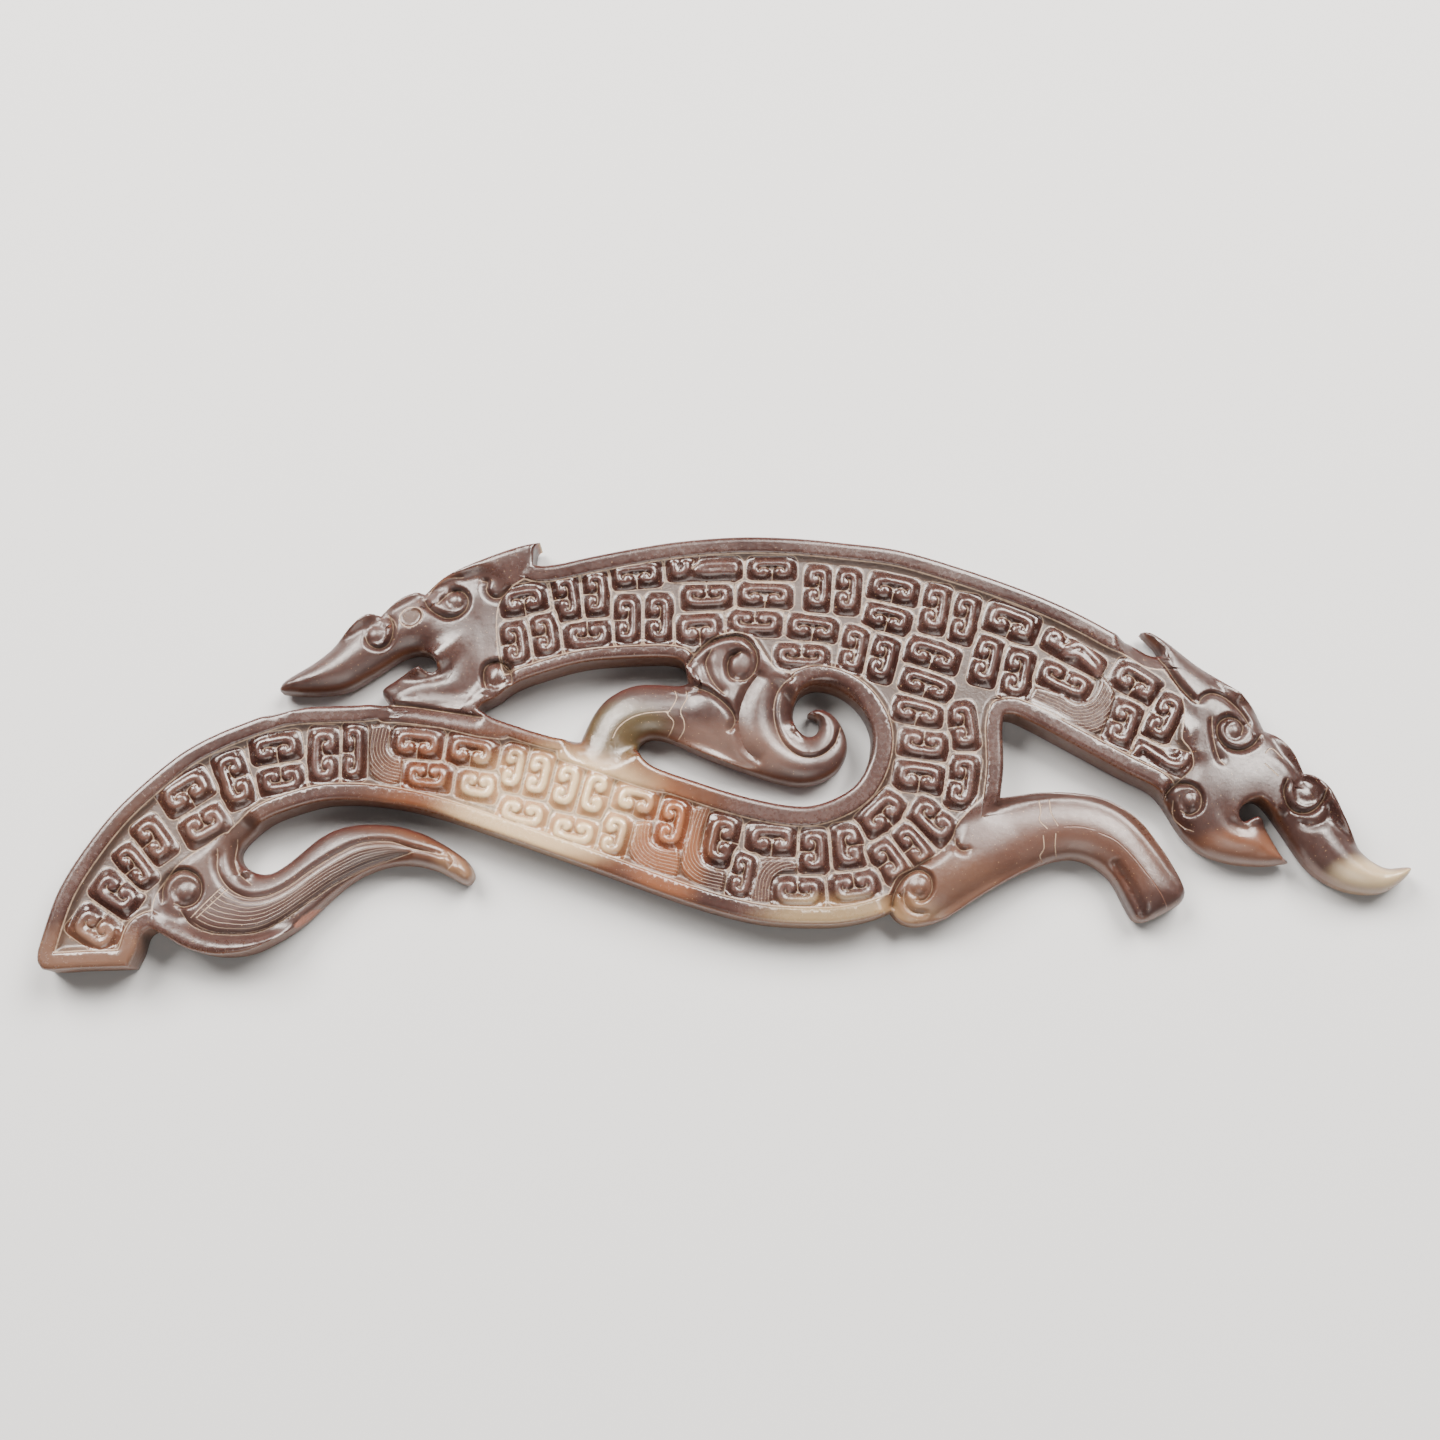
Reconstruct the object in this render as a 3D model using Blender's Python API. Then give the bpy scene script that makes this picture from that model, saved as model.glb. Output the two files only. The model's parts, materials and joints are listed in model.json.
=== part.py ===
"""Arc pendant carved from one plate of jade, with a dragon head at each end.

The plate lies on its back: +X runs along its length, +Y towards its upper
edge and +Z out of the carved face. Sizes are in metres. The drawing that
gives the outline and the places of the carving is in units of its own, and
LENGTH sets its scale.
"""

import math

import bpy
import numpy as np
from mathutils.geometry import delaunay_2d_cdt

# Driving sizes of the plate, in metres.
LENGTH = 0.1376
THICKNESS = 0.0050
EDGE_RADIUS = 0.0009
EDGE_DROP = 0.0008
LIMB_RADIUS = 0.0026
LIMB_DROP = 0.0020
BACK_BEVEL = 0.0004
LIMB_BACK_BEVEL = 0.0008

# Sizes of the carving, in metres.
BORDER = 0.0017
SPIRAL_BORDER = 0.0020
WINDOW_BORDER = 0.0013
STEP_WIDTH = 0.0003
LIMB_STEP_WIDTH = 0.0012
GROUND_DEPTH = 0.0007
SCROLL_RISE = 0.0007
SCROLL_FLANK = 0.0006
SCROLL_NOTCH = 0.0009
SCROLL_MARGIN = 0.0001
SCROLL_FADE = 0.0004
CURL_GROOVE = 0.0006
EYE_GROOVE = 0.0003
OUTLINE_TOLERANCE = 0.000055
LONGEST_FACET = 0.0044
LIMB_FACET = 0.0029
POINT_CLEARANCE = 0.00012
LINE_CLEARANCE = 0.00006
LATTICE_CLEARANCE = 0.0009

# Shares of a size: corner of a scroll over its half width, reach of its
# rounded edge over its flank, length of its crown, and width of an eye's
# groove over the eye.
SCROLL_CORNER = 0.5
SCROLL_ROUNDING = 1.6
SCROLL_CROWN = 0.45
EYE_GROOVE_SHARE = 0.35
CURL_SIDES = 10

# The drawing: its length in its own units, how far it leans back, and how
# far off and above which point it is seen.
DRAWN_LENGTH = 1376.0
DRAWN_THICKNESS = 50.0
DRAWN_RIM = 42.0
DRAWN_LIMB_RIM = 30.0
DRAWN_LEAN = math.radians(10.0)
DRAWN_DISTANCE = 2300.0
DRAWN_CENTRE = (720.0, 720.0)

# The outline as smooth runs. Each run starts and ends on a corner, and y
# grows downwards as on the drawing.
OUTLINE_RUNS = [
    # Outer edge of the left arc, from the foot of the tail to the jaw.
    [(39, 950), (45, 930), (60, 890), (85, 850), (117, 810), (161, 770),
     (188, 750), (228, 730), (270, 716), (300, 710), (340, 706.5),
     (389, 705)],
    # Front of the lower jaw.
    [(389, 705), (382, 695), (380.5, 690), (388, 684), (405, 675),
     (419, 667.5)],
    # Gap of the mouth and the snout.
    [(419, 667.5), (425, 672), (433, 675), (438, 672), (440, 668),
     (436, 662), (430, 659), (420, 658.5), (407, 662), (370, 685),
     (350, 695), (325, 698.5), (297, 698), (281, 693), (279, 688),
     (282, 682), (315, 661), (335, 645), (353, 626), (367, 615),
     (381, 616)],
    # Brow.
    [(381, 616), (390, 608), (405, 597), (420, 592.5), (425, 594)],
    # Ear of the left head.
    [(425, 594), (430, 590), (442, 580), (460, 570), (490, 560),
     (515, 552), (535, 547), (542, 549)],
    [(542, 549), (538, 560), (536, 571)],
    # Upper edge of the body.
    [(536, 571), (572, 561.5), (600, 556), (642, 548), (684, 542),
     (741, 538), (797, 539.5), (853, 545), (898, 551), (973, 573),
     (1021, 590), (1060, 606), (1100, 626), (1157, 659)],
    # Horn of the right head.
    [(1157, 659), (1138, 636), (1148, 630.5), (1160, 636), (1198, 665),
     (1238, 694), (1252, 707), (1265, 730)],
    # Brow, snout and its upturned tip.
    [(1265, 730), (1278, 738), (1290, 750), (1303, 774)],
    [(1303, 774), (1312, 776), (1325, 783), (1335, 797), (1352, 836),
     (1365, 854), (1388, 867.5), (1405, 866), (1414, 867), (1408, 877),
     (1390, 890), (1370, 896), (1345, 894), (1320, 884), (1302, 870),
     (1273, 829), (1262, 814), (1250, 804), (1240, 806), (1237, 812),
     (1238, 819), (1241, 824), (1253, 818), (1258, 818), (1265, 827),
     (1288, 863)],
    # Lower jaw and throat of the right head, then the underside.
    [(1288, 863), (1280, 866), (1255, 868), (1225, 865), (1200, 857),
     (1180, 841), (1165, 819), (1150, 797), (1120, 781), (1060, 749),
     (1030, 733), (1001, 720)],
    # Gap before the hind leg.
    [(1001, 720), (1003, 745), (1003, 770), (1000, 798)],
    # Hind leg with its straight end.
    [(1000, 798), (1015, 796), (1045, 792), (1075, 793), (1100, 797),
     (1120, 806), (1140, 821), (1170, 862), (1180, 880), (1186, 893),
     (1183, 902), (1170, 910), (1140, 924), (1131, 923), (1117, 899),
     (1107, 882), (1090, 868), (1070, 861.5), (1050, 864), (1020, 875),
     (980, 897), (940, 922), (912, 928.5), (897, 924), (889, 915)],
    # Lower edge of the body, round the slot, and the tail's hook.
    [(889, 915), (870, 922), (840, 928), (813, 929), (765, 926.5),
     (721, 917), (671, 901), (592, 872), (501, 840), (440, 820),
     (400, 811), (365, 807), (330, 808), (300, 816), (275, 826),
     (258, 840), (246, 854), (245, 862), (252, 872), (263, 874),
     (275, 871), (290, 861), (305, 848), (325, 834), (345, 826),
     (370, 823.5), (400, 826), (425, 834), (445, 845), (463, 857),
     (475, 871), (477, 881), (471, 887), (440, 873), (410, 867),
     (380, 872), (350, 888), (310, 924), (285, 941), (255, 955),
     (225, 958), (200, 953), (180, 945), (158, 931)],
    # Foot of the tail.
    [(158, 931), (152, 940), (147, 957), (140, 970)],
    [(140, 970), (100, 971.5), (60, 971.5), (47, 970.5), (40, 966),
     (37.5, 959), (39, 950)],
]
WINDOW_RUNS = [
    [(481, 714), (500, 706), (510, 698), (525, 690), (555, 680),
     (585, 672), (630, 668), (670, 667.5), (684, 671), (688, 686)],
    [(688, 686), (655, 684), (635, 685), (615, 693), (602, 703),
     (592, 716), (580, 741)],
    [(580, 741), (560, 739), (530, 731), (481, 714)],
]
SPIRAL_RUNS = [
    [(637.5, 753), (640, 748), (652, 742), (670, 745), (700, 758),
     (740, 773), (770, 783.5), (800, 789), (820, 785), (838, 773),
     (848, 745), (842, 725), (832, 713), (819, 708), (808, 712),
     (806, 720), (815, 722), (820, 729), (813, 736), (802, 733),
     (794, 722), (793, 712), (797, 702), (810, 694), (826, 695),
     (843, 702), (857, 714), (867, 731), (870, 747), (865, 772),
     (853, 788), (830, 801), (805, 807), (770, 803), (730, 793),
     (690, 780), (650, 765), (637.5, 753)],
]

# Spines of the rounded members and how far each reaches on either side.
LIMB_SPINES = {
    "left head": ([(285, 688), (350, 660), (430, 615), (480, 600),
                   (520, 565)], 38),
    "left jaw": ([(390, 692), (440, 690), (480, 650), (485, 610)], 28),
    "right horn": ([(1150, 640), (1200, 690), (1235, 735)], 36),
    "right head": ([(1235, 735), (1270, 790), (1320, 855), (1360, 880),
                    (1410, 870)], 48),
    "right jaw": ([(1215, 780), (1195, 820), (1230, 850), (1280, 860)], 40),
    "hind leg": ([(920, 890), (985, 850), (1040, 830), (1100, 835),
                  (1160, 905)], 44),
    "foreleg": ([(600, 735), (640, 710), (700, 715), (760, 740),
                 (800, 765), (835, 745), (825, 715)], 40),
    "shoulder": ([(720, 665), (755, 690), (775, 710)], 32),
    "tail hook": ([(185, 890), (225, 905), (280, 895), (350, 850),
                   (420, 848), (470, 880)], 42),
}
LIMB_BLEND = 16

# Closed lines round the members and joints that have no scrolls. Only the
# stretches that cross the plate show, as edges of the sunk field.
FIELD_CUTS = {
    "left head": [(548, 566), (520, 580), (500, 592), (497, 610),
                  (500, 640), (504, 668), (512, 700), (440, 704),
                  (270, 706), (260, 670), (420, 570), (530, 535)],
    "left jaw on the arc": [(372, 712), (380, 720.5), (400, 722), (439, 727),
                            (484, 736.5), (508, 736), (496, 700),
                            (430, 690), (380, 697)],
    "right head": [(1152, 655), (1174, 680), (1189, 698), (1193, 716),
                   (1198, 735), (1202, 750), (1194, 768), (1178, 782),
                   (1158, 805), (1220, 890), (1300, 890), (1440, 910),
                   (1440, 830), (1260, 680), (1140, 610)],
    "haunch": [(990, 792), (970, 810), (958, 824), (953, 838),
               (940, 852), (915, 867), (899, 876), (891, 890),
               (884, 908), (890, 950), (1100, 960), (1220, 900),
               (1150, 790), (1060, 770)],
    "foreleg": [(686, 688), (688, 664), (700, 648), (715, 637),
                (735, 632), (752, 637), (764, 654), (775, 668),
                (797, 675), (815, 692), (850, 715), (864, 750),
                (852, 780), (815, 797), (765, 791), (700, 772),
                (640, 752), (590, 745), (590, 700), (630, 678)],
    "foot on the arc": [(558, 748), (558, 757), (585, 767), (613, 777),
                        (658, 791), (676, 790), (645, 757), (600, 738)],
    "tail root": [(156, 936), (152, 905), (163, 880), (182, 860),
                  (205, 845), (228, 832), (250, 850), (310, 834),
                  (370, 815), (440, 832), (500, 870), (480, 900),
                  (310, 970), (200, 975)],
}

# The C-scrolls: place, heading of the scroll's back in degrees from +X,
# length and width. The headings turn anticlockwise.
SCROLLS = {
    "tail": [
        (94, 929, 236, 48, 35), (115, 893, 236, 48, 32),
        (134, 866, 40, 48, 25), (153, 839, 37, 46, 30),
        (185, 791, 123, 52, 33), (204, 825, 300, 46, 31),
    ],
    "left arc": [
        (233, 779, 200, 56, 32), (275, 747, 100, 49, 29),
        (281, 780, 278, 45, 29), (323, 755, 180, 56, 31),
        (353, 752, 0, 56, 24), (417, 743, 85, 50, 31),
        (427, 776, 265, 46, 30), (471, 751, 80, 49, 31),
        (477, 785, 260, 41, 30), (513, 767, -12, 45, 25),
        (538, 774, -12, 45, 27), (522, 813, 258, 48, 29),
        (566, 785, -15, 46, 28), (573, 831, 258, 47, 29),
        (594, 793, 165, 45, 28), (614, 835, -15, 44, 28),
        (636, 800, 75, 43, 29), (672, 823, -12, 49, 29),
    ],
    "lower middle": [
        (721, 840, 168, 50, 32), (742, 875, -10, 46, 25),
        (772, 839, 86, 49, 31), (798, 892, 270, 50, 31),
        (814, 851, 0, 43, 29), (848, 846, 188, 44, 31),
        (855, 887, 278, 49, 31),
    ],
    "flank": [
        (882, 813, 133, 49, 31), (889, 860, 35, 44, 28),
        (914, 845, 38, 44, 24), (933, 820, 227, 50, 31),
        (920, 776, 82, 49, 31), (924, 744, 262, 48, 29),
        (918, 711, 76, 50, 26), (964, 725, 8, 48, 28),
        (963, 781, -10, 54, 30), (927, 684, 70, 52, 26),
        (933, 654, 72, 54, 29), (987, 660, -14, 50, 29),
        (1018, 673, -12, 52, 31), (1012, 622, 68, 54, 32),
    ],
    "upper body": [
        (965, 618, -12, 50, 27), (936, 608, -10, 49, 29),
        (888, 617, 75, 46, 27), (894, 588, 78, 50, 29),
        (883, 658, -15, 46, 28), (854, 649, -10, 48, 27),
        (848, 590, -5, 46, 26), (818, 587, -3, 46, 27),
        (813, 627, 82, 50, 25), (802, 656, 268, 54, 26),
        (755, 622, 268, 53, 26), (765, 594, 88, 54, 26),
        (707, 596, 272, 50, 26), (699, 628, 95, 46, 31),
        (772, 568, 90, 44, 22), (704, 568, 90, 72, 22),
        (636, 574, 95, 50, 26), (627, 619, 0, 50, 27),
        (659, 618, 0, 51, 28), (588, 635, 275, 48, 31),
        (596, 593, 2, 46, 26), (567, 597, 10, 46, 26),
        (545, 634, 10, 44, 27), (515, 643, 8, 45, 27),
        (523, 599, 100, 46, 30),
    ],
    "right end": [
        (1074, 652, 59, 66, 23), (1065, 680, 245, 54, 27),
        (1137, 681, 58, 49, 31), (1124, 723, -20, 48, 31),
        (1165, 717, -28, 50, 29), (1164, 757, 250, 60, 24),
    ],
}

# Round curls: centre, radius of the knob, radius of the groove round it,
# and the heading at which the groove is left open.
CURLS = {
    "left nose": (375, 632, 8, 13, 150),
    "left cheek": (455, 598, 8, 14, 175),
    "left jaw joint": (494, 675, 14, 18, 250),
    "right ear": (1240, 728, 8, 15, 60),
    "right nose": (1312, 793, 9, 17, 45),
    "right cheek": (1190, 799, 8, 14, 220),
    "haunch": (918, 886, 9, 15, 215),
    "shoulder": (741, 664, 10, 17, 150),
    "tail root": (187, 889, 10, 16, 195),
}

# Open grooves: their points, width and depth in drawing units.
GROOVES = {
    "under the left jaw": ([(384, 703), (430, 706), (484, 714)], 7, 8),
    "left ear": ([(545, 560), (520, 582), (500, 593), (486, 588)], 8, 6),
    "hook, inner": ([(222, 893), (250, 903), (285, 892), (330, 858),
                     (375, 843), (440, 850)], 9, 4),
    "hook, outer": ([(182, 914), (205, 930), (245, 933), (290, 915),
                     (345, 872), (400, 857), (450, 864)], 9, 4),
    "spiral": ([(786, 677), (773, 704), (778, 735), (796, 753),
                (816, 757), (834, 747), (841, 726)], 8, 4),
    "shoulder": ([(700, 689), (724, 700), (734, 714), (728, 730)], 8, 6),
    "right horn": ([(1160, 650), (1176, 674), (1194, 697)], 9, 6),
}
EYES = {
    "left": (410, 614, 25, 22, 13),
    "right": (1271, 757, -35, 22, 14),
}

UNIT_MM = LENGTH / DRAWN_LENGTH * 1000.0
MM = 0.001


def in_mm(size):
    """Turn a size in metres into millimetres, the unit used below."""
    return size / MM


def start_clean():
    """Remove what the scene holds and return a fresh collection."""
    for old in list(bpy.data.objects):
        bpy.data.objects.remove(old, do_unlink=True)
    group = bpy.data.collections.new("jade_arc_pendant")
    bpy.context.scene.collection.children.link(group)
    return group


def smooth_run(points, step=2.5):
    """Sample a smooth curve through the points at about the given step."""
    knots = np.asarray(points, float)
    padded = np.vstack([2 * knots[0] - knots[1], knots, 2 * knots[-1] - knots[-2]])
    sampled = [knots[:1]]
    for i in range(len(knots) - 1):
        a, b, c, d = padded[i:i + 4]
        count = max(2, int(round(np.linalg.norm(c - b) / step)))
        t0 = 0.0
        t1 = t0 + math.sqrt(np.linalg.norm(b - a))
        t2 = t1 + math.sqrt(np.linalg.norm(c - b))
        t3 = t2 + math.sqrt(np.linalg.norm(d - c))
        t = np.linspace(t1, t2, count + 1)[1:, None]
        ab = (t1 - t) / (t1 - t0) * a + (t - t0) / (t1 - t0) * b
        bc = (t2 - t) / (t2 - t1) * b + (t - t1) / (t2 - t1) * c
        cd = (t3 - t) / (t3 - t2) * c + (t - t2) / (t3 - t2) * d
        abc = (t2 - t) / (t2 - t0) * ab + (t - t0) / (t2 - t0) * bc
        bcd = (t3 - t) / (t3 - t1) * bc + (t - t1) / (t3 - t1) * cd
        sampled.append((t2 - t) / (t2 - t1) * abc + (t - t1) / (t2 - t1) * bcd)
    curve = np.vstack(sampled)
    for _ in range(4):
        middle = (curve[:-2] + 2 * curve[1:-1] + curve[2:]) / 4
        curve = np.vstack([curve[:1], middle, curve[-1:]])
    return curve


def smoothstep(value):
    """Ease from 0 to 1."""
    t = np.clip(value, 0.0, 1.0)
    return t * t * (3 - 2 * t)


def dome(value):
    """Quarter round from 0 at the edge to 1 where the top begins."""
    t = np.clip(value, 0.0, 1.0)
    return np.sqrt(1 - (1 - t) ** 2)


def view_rays(drawn):
    """Lean of the sight lines through drawn points, sideways and along."""
    side = (drawn[:, 0] - DRAWN_CENTRE[0]) / DRAWN_DISTANCE
    up = (DRAWN_CENTRE[1] - drawn[:, 1]) / DRAWN_DISTANCE
    along = math.sin(DRAWN_LEAN) + up * math.cos(DRAWN_LEAN)
    down = math.cos(DRAWN_LEAN) - up * math.sin(DRAWN_LEAN)
    return side, along, down


def square_up(drawn, height):
    """Lay drawn points flat: plan millimetres of points at these heights."""
    drawn = np.asarray(drawn, float)
    side, along, down = view_rays(drawn)
    rise = DRAWN_DISTANCE * math.cos(DRAWN_LEAN) + DRAWN_THICKNESS - height
    reach = rise / down
    x = reach * side
    y = reach * along - DRAWN_DISTANCE * math.sin(DRAWN_LEAN)
    return np.column_stack([x, y]) * UNIT_MM


def on_face(drawn):
    """Plan millimetres of points drawn on the carved face."""
    return square_up(drawn, DRAWN_THICKNESS)


def distance_to_lines(points, starts, ends):
    """Shortest distance from each point to any of the segments."""
    best = np.full(len(points), np.inf)
    for chunk in range(0, len(starts), 64):
        a = starts[chunk:chunk + 64]
        along = ends[chunk:chunk + 64] - a
        length = np.maximum((along ** 2).sum(axis=1), 1e-18)
        offset = points[:, None, :] - a[None]
        t = np.clip((offset * along[None]).sum(axis=2) / length, 0, 1)
        gap = offset - t[..., None] * along[None]
        best = np.minimum(best, np.sqrt((gap ** 2).sum(axis=2)).min(axis=1))
    return best


def distance_to_path(points, path):
    """Shortest distance from each point to an open path."""
    return distance_to_lines(points, path[:-1], path[1:])


def inside(points, polygon):
    """Whether each point lies in the polygon."""
    crossings = np.zeros(len(points), int)
    x, y = points[:, 0], points[:, 1]
    for (ax, ay), (bx, by) in zip(polygon, np.roll(polygon, -1, axis=0)):
        if ay == by:
            continue
        spans = (ay > y) != (by > y)
        crossings += spans & (x < (bx - ax) * (y - ay) / (by - ay) + ax)
    return crossings % 2 == 1


def signed_depth(points, polygon):
    """Distance to the polygon's edge, positive inside it."""
    gap = distance_to_lines(points, polygon, np.roll(polygon, -1, axis=0))
    return np.where(inside(points, polygon), gap, -gap)


def limb_weight(points):
    """How far each plan point belongs to a rounded member, 0 to 1."""
    weight = np.zeros(len(points))
    for path, reach in LIMB_SPINES.values():
        spine = on_face(smooth_run(path, 12))
        near = distance_to_path(points, spine) / UNIT_MM
        weight = np.maximum(weight, smoothstep((reach - near) / LIMB_BLEND))
    return weight


def plan_loop(runs, outer):
    """Lay one closed outline flat, material on its left, in millimetres.

    A wall turned to the viewer shows its foot, and any other wall shows
    its upper rim, so each point is laid flat from that height.
    """
    sampled = [smooth_run(run) for run in runs]
    joined = np.vstack([run[:-1] for run in sampled])
    flat = joined * (1, -1)
    following = np.roll(flat, -1, axis=0)
    area = (flat[:, 0] * following[:, 1] - following[:, 0] * flat[:, 1]).sum() / 2
    turned = (area > 0) != outer
    corner_places = np.cumsum([0] + [len(run) - 1 for run in sampled[:-1]])
    tangent = np.roll(flat, -1, axis=0) - np.roll(flat, 1, axis=0)
    tangent /= np.linalg.norm(tangent, axis=1)[:, None]
    normal = np.column_stack([tangent[:, 1], -tangent[:, 0]])
    if turned:
        normal = -normal
    side, along, _ = view_rays(joined)
    sight = np.column_stack([side, along])
    sight /= np.maximum(np.linalg.norm(sight, axis=1), 1e-9)[:, None]
    hidden = smoothstep(((normal * sight).sum(axis=1) + 0.25) / 0.5)
    rough = on_face(joined)
    rim = DRAWN_RIM + (DRAWN_LIMB_RIM - DRAWN_RIM) * limb_weight(rough)
    height = rim * hidden
    for _ in range(6):
        height = (np.roll(height, 1) + 2 * height + np.roll(height, -1)) / 4
    plan = square_up(joined, height)
    corners = np.zeros(len(plan), bool)
    corners[corner_places] = True
    if turned:
        plan = plan[::-1]
        corners = corners[::-1]
    return plan, corners


def thin_out(plan, corners):
    """Indices of the points that the outline's shape needs."""
    tolerance = in_mm(OUTLINE_TOLERANCE)
    longest = in_mm(LONGEST_FACET)
    keep = {0}
    marks = [0] + [i for i in np.flatnonzero(corners) if i > 0] + [len(plan)]
    ring = np.vstack([plan, plan[:1]])
    stack = list(zip(marks[:-1], marks[1:]))
    while stack:
        first, last = stack.pop()
        keep.add(first)
        if last - first < 2:
            continue
        chord = ring[last] - ring[first]
        length = np.linalg.norm(chord)
        between = ring[first + 1:last] - ring[first]
        if length > 1e-9:
            sag = np.abs(chord[0] * between[:, 1] - chord[1] * between[:, 0]) / length
        else:
            sag = np.linalg.norm(between, axis=1)
        worst = int(np.argmax(sag))
        if sag[worst] > tolerance:
            split = first + 1 + worst
        elif length > longest:
            split = (first + last) // 2
        else:
            continue
        stack += [(first, split), (split, last)]
    return np.array(sorted(keep))


def scroll_shapes():
    """Foot and shoulder outlines and two crown points of every scroll."""
    shapes = []
    shrink = 2 * in_mm(SCROLL_FLANK)
    grow = 2 * in_mm(SCROLL_MARGIN)
    notch = in_mm(SCROLL_NOTCH)
    for group in SCROLLS.values():
        for x, y, heading, drawn_length, drawn_width in group:
            centre = on_face([(x, y)])[0]
            back = math.radians(heading)
            across = np.array([math.cos(back), math.sin(back)])
            along = np.array([across[1], -across[0]])
            outlines = []
            for inset in (-grow, shrink - grow):
                half = (drawn_length * UNIT_MM - inset) / 2
                wide = (drawn_width * UNIT_MM - inset) / 2
                cut = SCROLL_CORNER * wide
                corner_list = [
                    (-half, -wide + cut), (-half, wide - cut),
                    (-half + cut, wide), (half - cut, wide),
                    (half, wide - cut), (half, -wide + cut),
                    (half - cut, -wide), (0.0, -wide + notch),
                    (-half + cut, -wide)]
                outlines.append(np.array([centre + u * along + v * across
                                          for u, v in corner_list]))
            half = drawn_length * UNIT_MM / 2
            crown = np.array([centre - SCROLL_CROWN * half * along,
                              centre + SCROLL_CROWN * half * along])
            shapes.append((outlines[0], outlines[1], crown))
    return shapes


def circle(centre, radius, count):
    """Points on a circle."""
    turns = np.arange(count) * 2 * math.pi / count
    return centre + radius * np.column_stack([np.cos(turns), np.sin(turns)])


def field_cut(drawn):
    """Smooth closed outline of a member that cuts into the field."""
    ring = smooth_run(drawn + drawn[:1], 14)[:-1]
    plan = on_face(ring)
    following = np.roll(plan, -1, axis=0)
    area = (plan[:, 0] * following[:, 1] - following[:, 0] * plan[:, 1]).sum()
    return plan if area > 0 else plan[::-1]


class Relief:
    """Height of the carved face over the plan, in millimetres."""

    def __init__(self, loops):
        self.loops = loops
        self.starts = np.vstack(loops)
        self.ends = np.vstack([np.roll(loop, -1, axis=0) for loop in loops])
        self.cuts = [field_cut(cut) for cut in FIELD_CUTS.values()]
        self.scrolls = scroll_shapes()

    def edge(self, points):
        """Distance to the plate's own edge."""
        return distance_to_lines(points, self.starts, self.ends)

    def field(self, points):
        """Distance into the sunk field of scrolls, negative outside it."""
        borders = (BORDER, WINDOW_BORDER, SPIRAL_BORDER)
        depth = np.full(len(points), np.inf)
        for loop, border in zip(self.loops, borders):
            gap = distance_to_lines(points, loop, np.roll(loop, -1, axis=0))
            depth = np.minimum(depth, gap - in_mm(border))
        for cut in self.cuts:
            depth = np.minimum(depth, -signed_depth(points, cut))
        return depth

    def rim(self, points):
        """Height of the upper rim of the side wall."""
        weight = limb_weight(points)
        drop = EDGE_DROP + (LIMB_DROP - EDGE_DROP) * weight
        return in_mm(THICKNESS - drop)

    def back_bevel(self, points):
        """Height and inset of the bevel round the back."""
        weight = limb_weight(points)
        return in_mm(BACK_BEVEL + (LIMB_BACK_BEVEL - BACK_BEVEL) * weight)

    def height(self, points):
        """Height of the carved face."""
        weight = limb_weight(points)
        edge = self.edge(points)
        radius = in_mm(EDGE_RADIUS + (LIMB_RADIUS - EDGE_RADIUS) * weight)
        drop = in_mm(EDGE_DROP + (LIMB_DROP - EDGE_DROP) * weight)
        z = in_mm(THICKNESS) - drop * (1 - dome(edge / radius))
        field = self.field(points)
        shoulder = in_mm(STEP_WIDTH + (LIMB_STEP_WIDTH - STEP_WIDTH) * weight)
        sunk = np.where(field > 0, 1.0, 1 - dome(-field / shoulder))
        z -= in_mm(GROUND_DEPTH) * sunk
        z += self.scroll_rise(points, field)
        z += self.curl_relief(points)
        z -= self.groove_depth(points)
        z -= self.eye_depth(points)
        return z

    def scroll_rise(self, points, field):
        """Rise of the C-scrolls above the sunk ground."""
        rise = np.zeros(len(points))
        flank = in_mm(SCROLL_FLANK)
        for foot, _, crown in self.scrolls:
            middle = foot.mean(axis=0)
            reach = np.linalg.norm(foot - middle, axis=1).max()
            near = np.linalg.norm(points - middle, axis=1) < reach
            if not near.any():
                continue
            depth = signed_depth(points[near], foot)
            lift = dome(depth / (SCROLL_ROUNDING * flank))
            rise[near] = np.maximum(rise[near], np.where(depth > 0, lift, 0))
        return in_mm(SCROLL_RISE) * rise * smoothstep(field / in_mm(SCROLL_FADE))

    def curl_relief(self, points):
        """Ring grooves that set off the round curls."""
        relief = np.zeros(len(points))
        for x, y, knob, ring, opening in CURLS.values():
            centre = on_face([(x, y)])[0]
            offset = points - centre
            gap = np.linalg.norm(offset, axis=1) / UNIT_MM
            turn = np.arctan2(offset[:, 1], offset[:, 0]) - math.radians(opening)
            closed = 1 - smoothstep((np.cos(turn) - 0.5) / 0.35)
            groove = 1 - np.clip(np.abs(gap - ring) / (ring - knob), 0, 1)
            relief -= in_mm(CURL_GROOVE) * groove * closed
        return relief

    def groove_depth(self, points):
        """Depth of the open grooves."""
        depth = np.zeros(len(points))
        for path, width, drawn_depth in GROOVES.values():
            spine = on_face(smooth_run(path, 10))
            gap = distance_to_path(points, spine) / UNIT_MM
            cut = drawn_depth * UNIT_MM * (1 - smoothstep(gap / width))
            depth = np.maximum(depth, cut)
        return depth

    def eye_depth(self, points):
        """Depth of the rounded rectangles cut round the eyes."""
        depth = np.zeros(len(points))
        for x, y, turn, length, width in EYES.values():
            local = (points - on_face([(x, y)])[0]) / UNIT_MM
            c, s = math.cos(math.radians(turn)), math.sin(math.radians(turn))
            u = local[:, 0] * c + local[:, 1] * s
            v = -local[:, 0] * s + local[:, 1] * c
            reach = np.maximum(np.abs(u) / length, np.abs(v) / width) * 2
            groove = 1 - np.clip(np.abs(reach - 1) / EYE_GROOVE_SHARE, 0, 1)
            depth = np.maximum(depth, in_mm(EYE_GROOVE) * groove)
        return depth


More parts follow.
